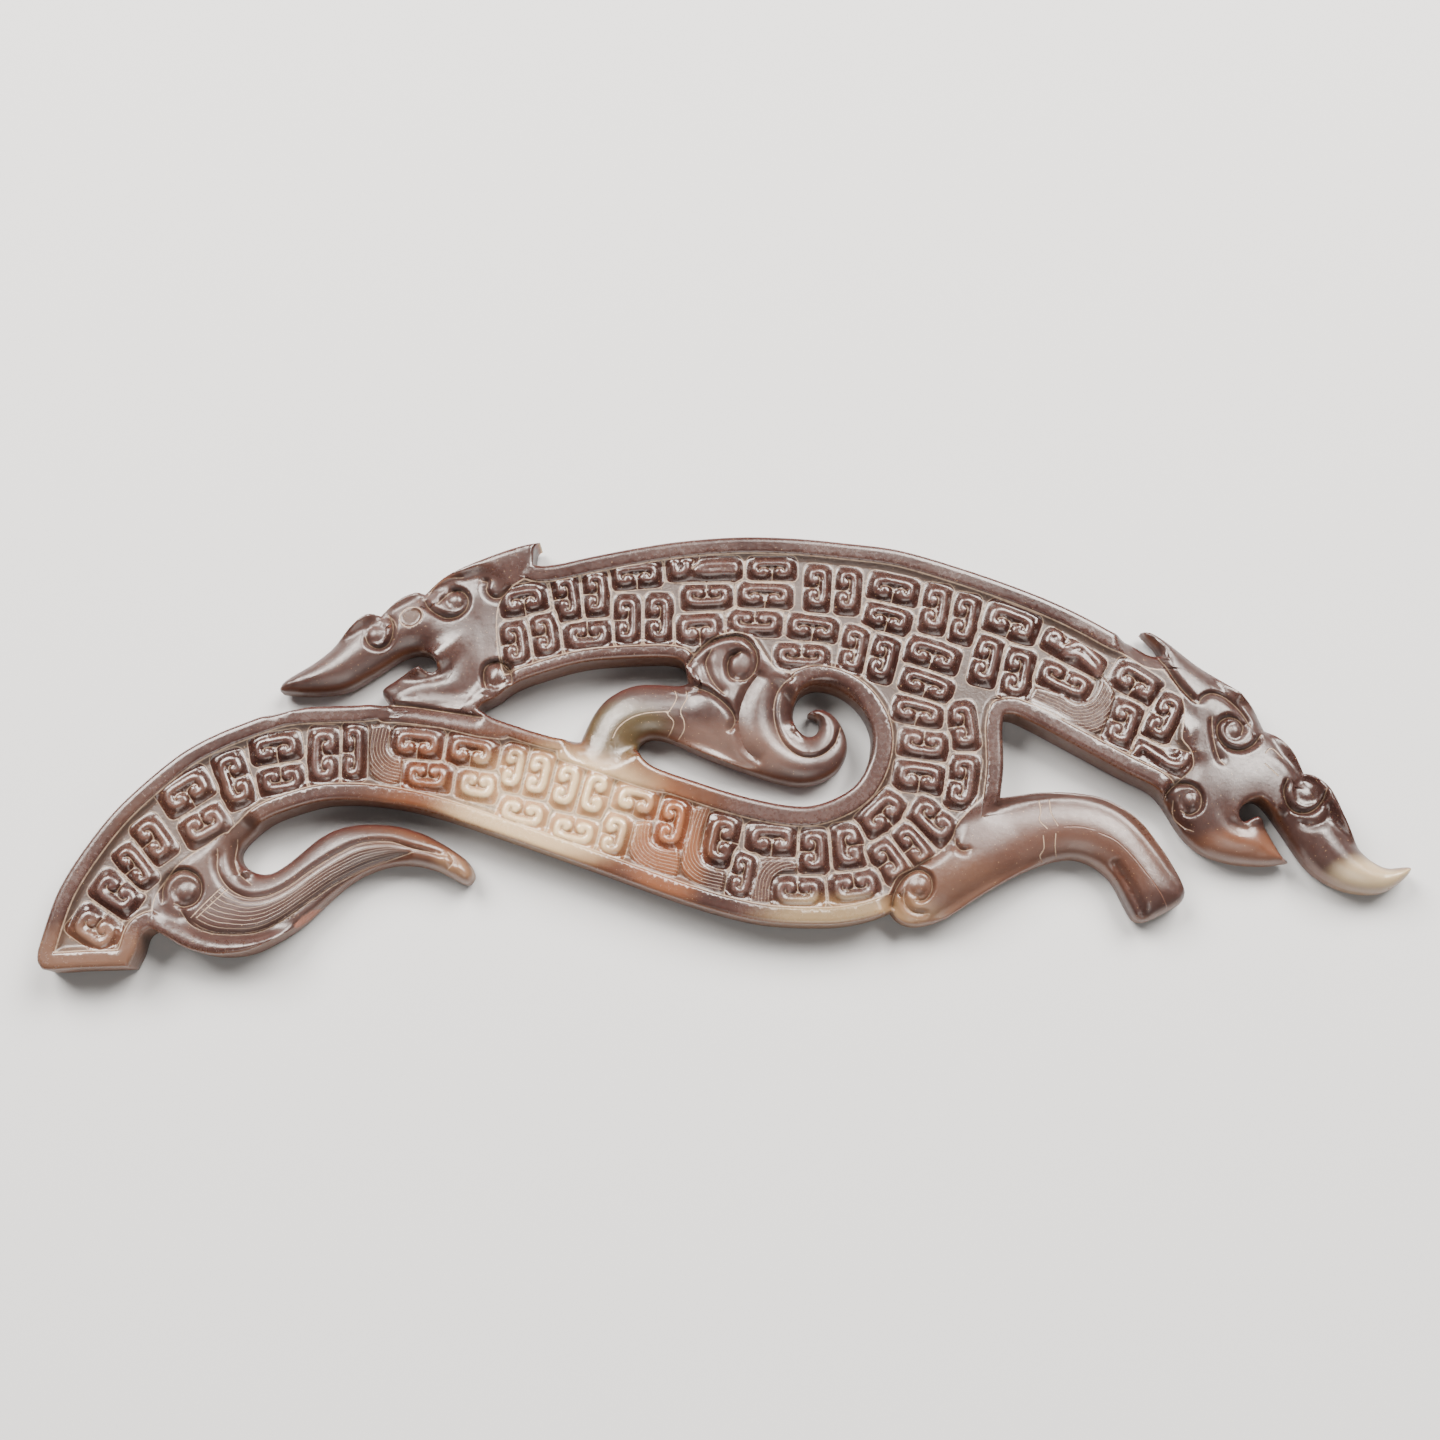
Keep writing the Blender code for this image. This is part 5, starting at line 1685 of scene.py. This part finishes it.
# %% Mix the body colour
MAUVE = (0.046, 0.022, 0.018)
PLUM = (0.028, 0.012, 0.010)
CLOUD = (0.074, 0.042, 0.035)
PATCHES = [
    ("warm lower arc", (545, 800), (205, 95), (0.110, 0.043, 0.020), 0.75),
    ("honey rim, left", (425, 775), (45, 60), (0.100, 0.032, 0.012), 0.55),
    ("cream vein", (545, 805), (120, 66), (0.40, 0.29, 0.17), 1.0),
    ("honey rim, right", (665, 850), (45, 70), (0.210, 0.080, 0.036), 0.55),
    ("olive forefoot", (622, 728), (52, 34), (0.056, 0.040, 0.017), 0.85),
    ("olive underside", (850, 915), (110, 26), (0.210, 0.150, 0.080), 0.75),
    ("haunch foot", (905, 915), (40, 26), (0.240, 0.145, 0.072), 0.7),
    ("cream snout tip", (1385, 880), (62, 30), (0.40, 0.31, 0.19), 0.8),
    ("tan jaw", (1240, 850), (60, 26), (0.160, 0.064, 0.032), 0.6),
    ("tail foot", (95, 955), (80, 40), (0.160, 0.088, 0.056), 0.5),
    ("tail tip", (462, 868), (34, 30), (0.210, 0.125, 0.072), 0.6),
    ("hind leg", (1070, 850), (130, 60), (0.085, 0.037, 0.023), 0.6),
    ("foreleg", (730, 750), (85, 36), (0.130, 0.078, 0.062), 0.6),
    ("haunch", (950, 890), (80, 50), (0.120, 0.058, 0.034), 0.5),
    ("left arc warmth", (200, 830), (110, 70), (0.066, 0.033, 0.023), 0.5),
]

clouds = noise(90.0, 4.0)
veins = noise(260.0, 5.0, 0.6)
body = mix(clouds.ramp(0.38, 0.66), PLUM, MAUVE)
body = mix(veins.ramp(0.45, 0.75) * 0.35, body, CLOUD)
for name, centre, reach, colour, strength in PATCHES:
    middle = on_stone([centre])[0] / 1000
    spread_to = (1000 / (reach[0] * UNIT), 1000 / (reach[1] * UNIT), 0.0)
    shifted = finish_tree.add("ShaderNodeVectorMath", {"operation": "SUBTRACT"},
                              {0: ground_place, 1: (middle[0], middle[1], 0.0)})
    scaled = finish_tree.add("ShaderNodeVectorMath", {"operation": "MULTIPLY"},
                             {0: shifted, 1: spread_to})
    far = Mask(finish_tree.add("ShaderNodeVectorMath", {"operation": "LENGTH"},
                               {0: scaled}, out="Value"))
    body = mix((far + clouds * 0.7).ramp(1.45, 0.85) * strength, body, colour)
print("patches", len(PATCHES))

# %% [markdown]
# ## Carving marks, painted shade and painted light
#
# The stroke tops are lightened as a painted sheen, and the flanks and steep
# sides are darkened and reddened as painted shade. Pale polishing dust stays in
# the ground between scrolls and in every scratched line. Walls that face up the
# sheet get a painted shade of dark red and those that face down a painted glow
# of tan. The chip on the tail is a fresh red, and a few pale specks lie in the
# stone. All of this follows the distances that the skin carries.

# %% Lay the carving marks over the body
TOP_SHEEN_PAINT = (1.45, 1.50, 1.55)
UP_WALL_SHADE_PAINT = (0.045, 0.009, 0.007)
DOWN_WALL_LIGHT_PAINT = (0.180, 0.072, 0.036)
EYE_BROWN = (0.045, 0.018, 0.008)
DUST = (0.042, 0.026, 0.018)
PALE_LINE = (0.36, 0.26, 0.18)
FLANK_SHADE_PAINT = (0.62, 0.44, 0.38)
CRACK_BROWN = (0.12, 0.05, 0.03)
CHIP_RED = (0.36, 0.14, 0.09)
SPECK = (0.50, 0.33, 0.18)

stroke = kept("stroke")
cell = kept("cell")
stem = kept("stem")
field = kept("field")
edge = kept("edge")
cut = kept("cut")
steep = kept("steep")
grain = kept("grain")
grain_where = kept("grain_where")
scratch = kept("scratched").at_most(1.0)
crack = kept("crack")
chip = kept("chip")
in_field = field.ramp(0.02, 0.12)
fine_noise = noise(2400.0, 2.0)

# Painted sheen: the stroke tops in the field are lightened, as if their polish caught the lamps.
top_sheen = stroke.ramp(STROKE_HALF, STROKE_HALF * 0.3) * in_field * cell.ramp(0.0, 0.1)
body = mix(top_sheen * 0.6, body, TOP_SHEEN_PAINT, "MULTIPLY")
# Painted shade: the flanks of the cells are multiplied darker and redder.
flank = stroke.ramp(STROKE_HALF * 0.80, STROKE_HALF * 1.25) * cell.ramp(0.02, 0.10)
colour = mix(flank * in_field * 0.75, body, FLANK_SHADE_PAINT, "MULTIPLY")
# Painted shade: the steep sides of cuts and the feet of members outside the field are multiplied
# darker too.
colour = mix(steep * (1 - in_field) * 0.65, colour, FLANK_SHADE_PAINT, "MULTIPLY")

ground = cell.ramp(0.06, -0.03) * in_field * (1 - grain_where)
colour = mix(ground * (fine_noise.ramp(0.25, 0.75) * 0.35 + 0.40), colour, DUST)
colour = mix(kept("pit") * 0.8, colour, EYE_BROWN)

wave = Mask(finish_tree.add("ShaderNodeMath", {"operation": "PINGPONG"},
                            {0: (grain + veins * 0.9).socket, 1: 0.5}))
strands = wave.ramp(0.13, 0.02) * grain_where
colour = mix(strands * 0.45, colour, PALE_LINE)

broken = fine_noise.ramp(0.30, 0.55) * 0.5 + 0.5
cell_line = cell.ramp(-0.08, -0.02) * cell.ramp(0.04, 0.0) * in_field * (1 - grain_where)
field_line = field.ramp(-0.05, 0.03) * field.ramp(0.13, 0.05)
stem_line = stem.ramp(0.075, 0.02) * cell.ramp(-0.05, 0.05) * in_field * 0.8
scratch_line = scratch.ramp(0.080, 0.03)
cut_line = cut.ramp(0.070, 0.02) * 0.8
lines = (cell_line * 0.8).at_least(field_line)
lines = lines.at_least(stem_line).at_least(scratch_line).at_least(cut_line)
colour = mix(lines * broken * 0.70, colour, PALE_LINE)
colour = mix(crack.ramp(0.06, 0.02) * 0.8, colour, CRACK_BROWN)

facing = finish_tree.add("ShaderNodeSeparateXYZ", inputs={
    0: finish_tree.add("ShaderNodeTexCoord", out="Normal")}, out=1)
facing = Mask(facing)
near_edge = edge.ramp(0.75, 0.05)
# By the way they face: the arris and walls facing up the sheet get a painted shade of dark red,
# and those facing down get a painted glow of tan.
colour = mix(near_edge * facing.ramp(0.30, 0.80) * 0.80, colour, UP_WALL_SHADE_PAINT)
colour = mix(near_edge * facing.ramp(-0.35, -0.80) * 0.60, colour, DOWN_WALL_LIGHT_PAINT)
colour = mix(chip.ramp(0.02, 0.25) * 0.7, colour, CHIP_RED)

specks = noise(5200.0, 1.0)
colour = mix(specks.ramp(0.72, 0.77) * 0.4, colour, SPECK)
print("nodes", len(mauve_jade.node_tree.nodes))

# %% [markdown]
# ## Polish, wear and depth of light
#
# The tops are polished until they mirror the lamps, while the ground stays dull
# and so do the sawn walls. The rounded members have a satin shine, and a fine
# ripple from hand polishing breaks up each highlight. Jade lets light in a
# little way, so a plain amount of subsurface scattering softens the shade.

# %% Set the polish
surface.subsurface_method = "RANDOM_WALK"
surface.inputs["Subsurface Weight"].default_value = 0.16
surface.inputs["Subsurface Radius"].default_value = (1.0, 0.55, 0.40)
surface.inputs["Subsurface Scale"].default_value = 0.0016
surface.inputs["IOR"].default_value = 1.62

polish = clouds.ramp(0.30, 0.75, 0.19, 0.29) + fine_noise.ramp(0.3, 0.7, -0.02, 0.05)
dull = (ground * 0.15).at_least(lines * 0.25).at_least(chip.ramp(0.02, 0.3) * 0.3)
on_wall = edge.ramp(0.06, 0.0)
roughness = polish + dull + kept("limb") * 0.10 + on_wall * 0.20
mauve_jade.node_tree.links.new(colour, surface.inputs["Base Color"])
mauve_jade.node_tree.links.new(roughness.socket, surface.inputs["Roughness"])

ripple = noise(900.0, 3.0)
peel = noise(3800.0, 2.0)
relief = ripple * 0.022 + peel * (0.008 + ground * 0.022) * (1 - on_wall * 0.7)
relief = relief - strands * 0.022 - scratch_line * 0.035 - cut_line * 0.010
relief = relief - crack.ramp(0.09, 0.02) * 0.03 + chip.ramp(0.0, 0.2) * peel * 0.08
bump = finish_tree.add("ShaderNodeBump", inputs={
    "Height": relief.socket, "Strength": 1.0, "Distance": 0.001})
mauve_jade.node_tree.links.new(bump, surface.inputs["Normal"])
print("finish ready")

# %% [markdown]
# ## Floor, lamps and eye
#
# The pendant lies on its back on a pale floor. Two broad lamps stand behind
# it to the left and right, as their long reflections on the legs show, and a
# weak one in front opens the shadows. The camera stands where the drawing's
# eye was.

# %% Set the stage
LAMP_COLOUR = (1.0, 0.94, 0.88)
BROAD_LAMP = (0.34, 12.0)
FRONT_LAMP = (0.30, 1.2)
PAPER = (0.49, 0.50, 0.51, 1)
ROOM = (0.92, 0.90, 0.87, 1)
ROOM_STRENGTH = 0.125


def lamp(name, place, size, power):
    """A square soft lamp that shines at the pendant."""
    data = bpy.data.lights.new(name, "AREA")
    data.shape = "SQUARE"
    data.size = size
    data.energy = power
    data.color = LAMP_COLOUR
    lit = bpy.data.objects.new(name, data)
    lit.location = place
    lit.rotation_euler = (-Vector(place)).to_track_quat("-Z", "Y").to_euler()
    bpy.context.scene.collection.objects.link(lit)


bpy.ops.mesh.primitive_plane_add(size=3.0, location=(0, 0, 0))
floor = bpy.context.object
floor.name = "floor"
paper = bpy.data.materials.new("pale_paper")
paper.use_nodes = True
matt = paper.node_tree.nodes["Principled BSDF"]
matt.inputs["Base Color"].default_value = PAPER
matt.inputs["Roughness"].default_value = 0.8
floor.data.materials.append(paper)

lamp("left_lamp", (-0.29, 0.33, 0.45), *BROAD_LAMP)
lamp("right_lamp", (0.23, 0.32, 0.45), *BROAD_LAMP)
lamp("front_lamp", (0.05, -0.45, 0.40), *FRONT_LAMP)
world = bpy.data.worlds.new("studio")
world.use_nodes = True
room = world.node_tree.nodes["Background"]
room.inputs["Color"].default_value = ROOM
room.inputs["Strength"].default_value = ROOM_STRENGTH
bpy.context.scene.world = world

camera_data = bpy.data.cameras.new("eye")
camera_data.sensor_width = 36.0
camera_data.lens = 36.0 * SIGHT / SHEET
camera_data.clip_start = 0.005
camera_data.clip_end = 20.0
camera = bpy.data.objects.new("eye", camera_data)
camera.location = [value / 1000 for value in EYE]
camera.rotation_euler = (LEAN, 0.0, 0.0)
bpy.context.scene.collection.objects.link(camera)
bpy.context.scene.camera = camera
print("lamps and camera placed")
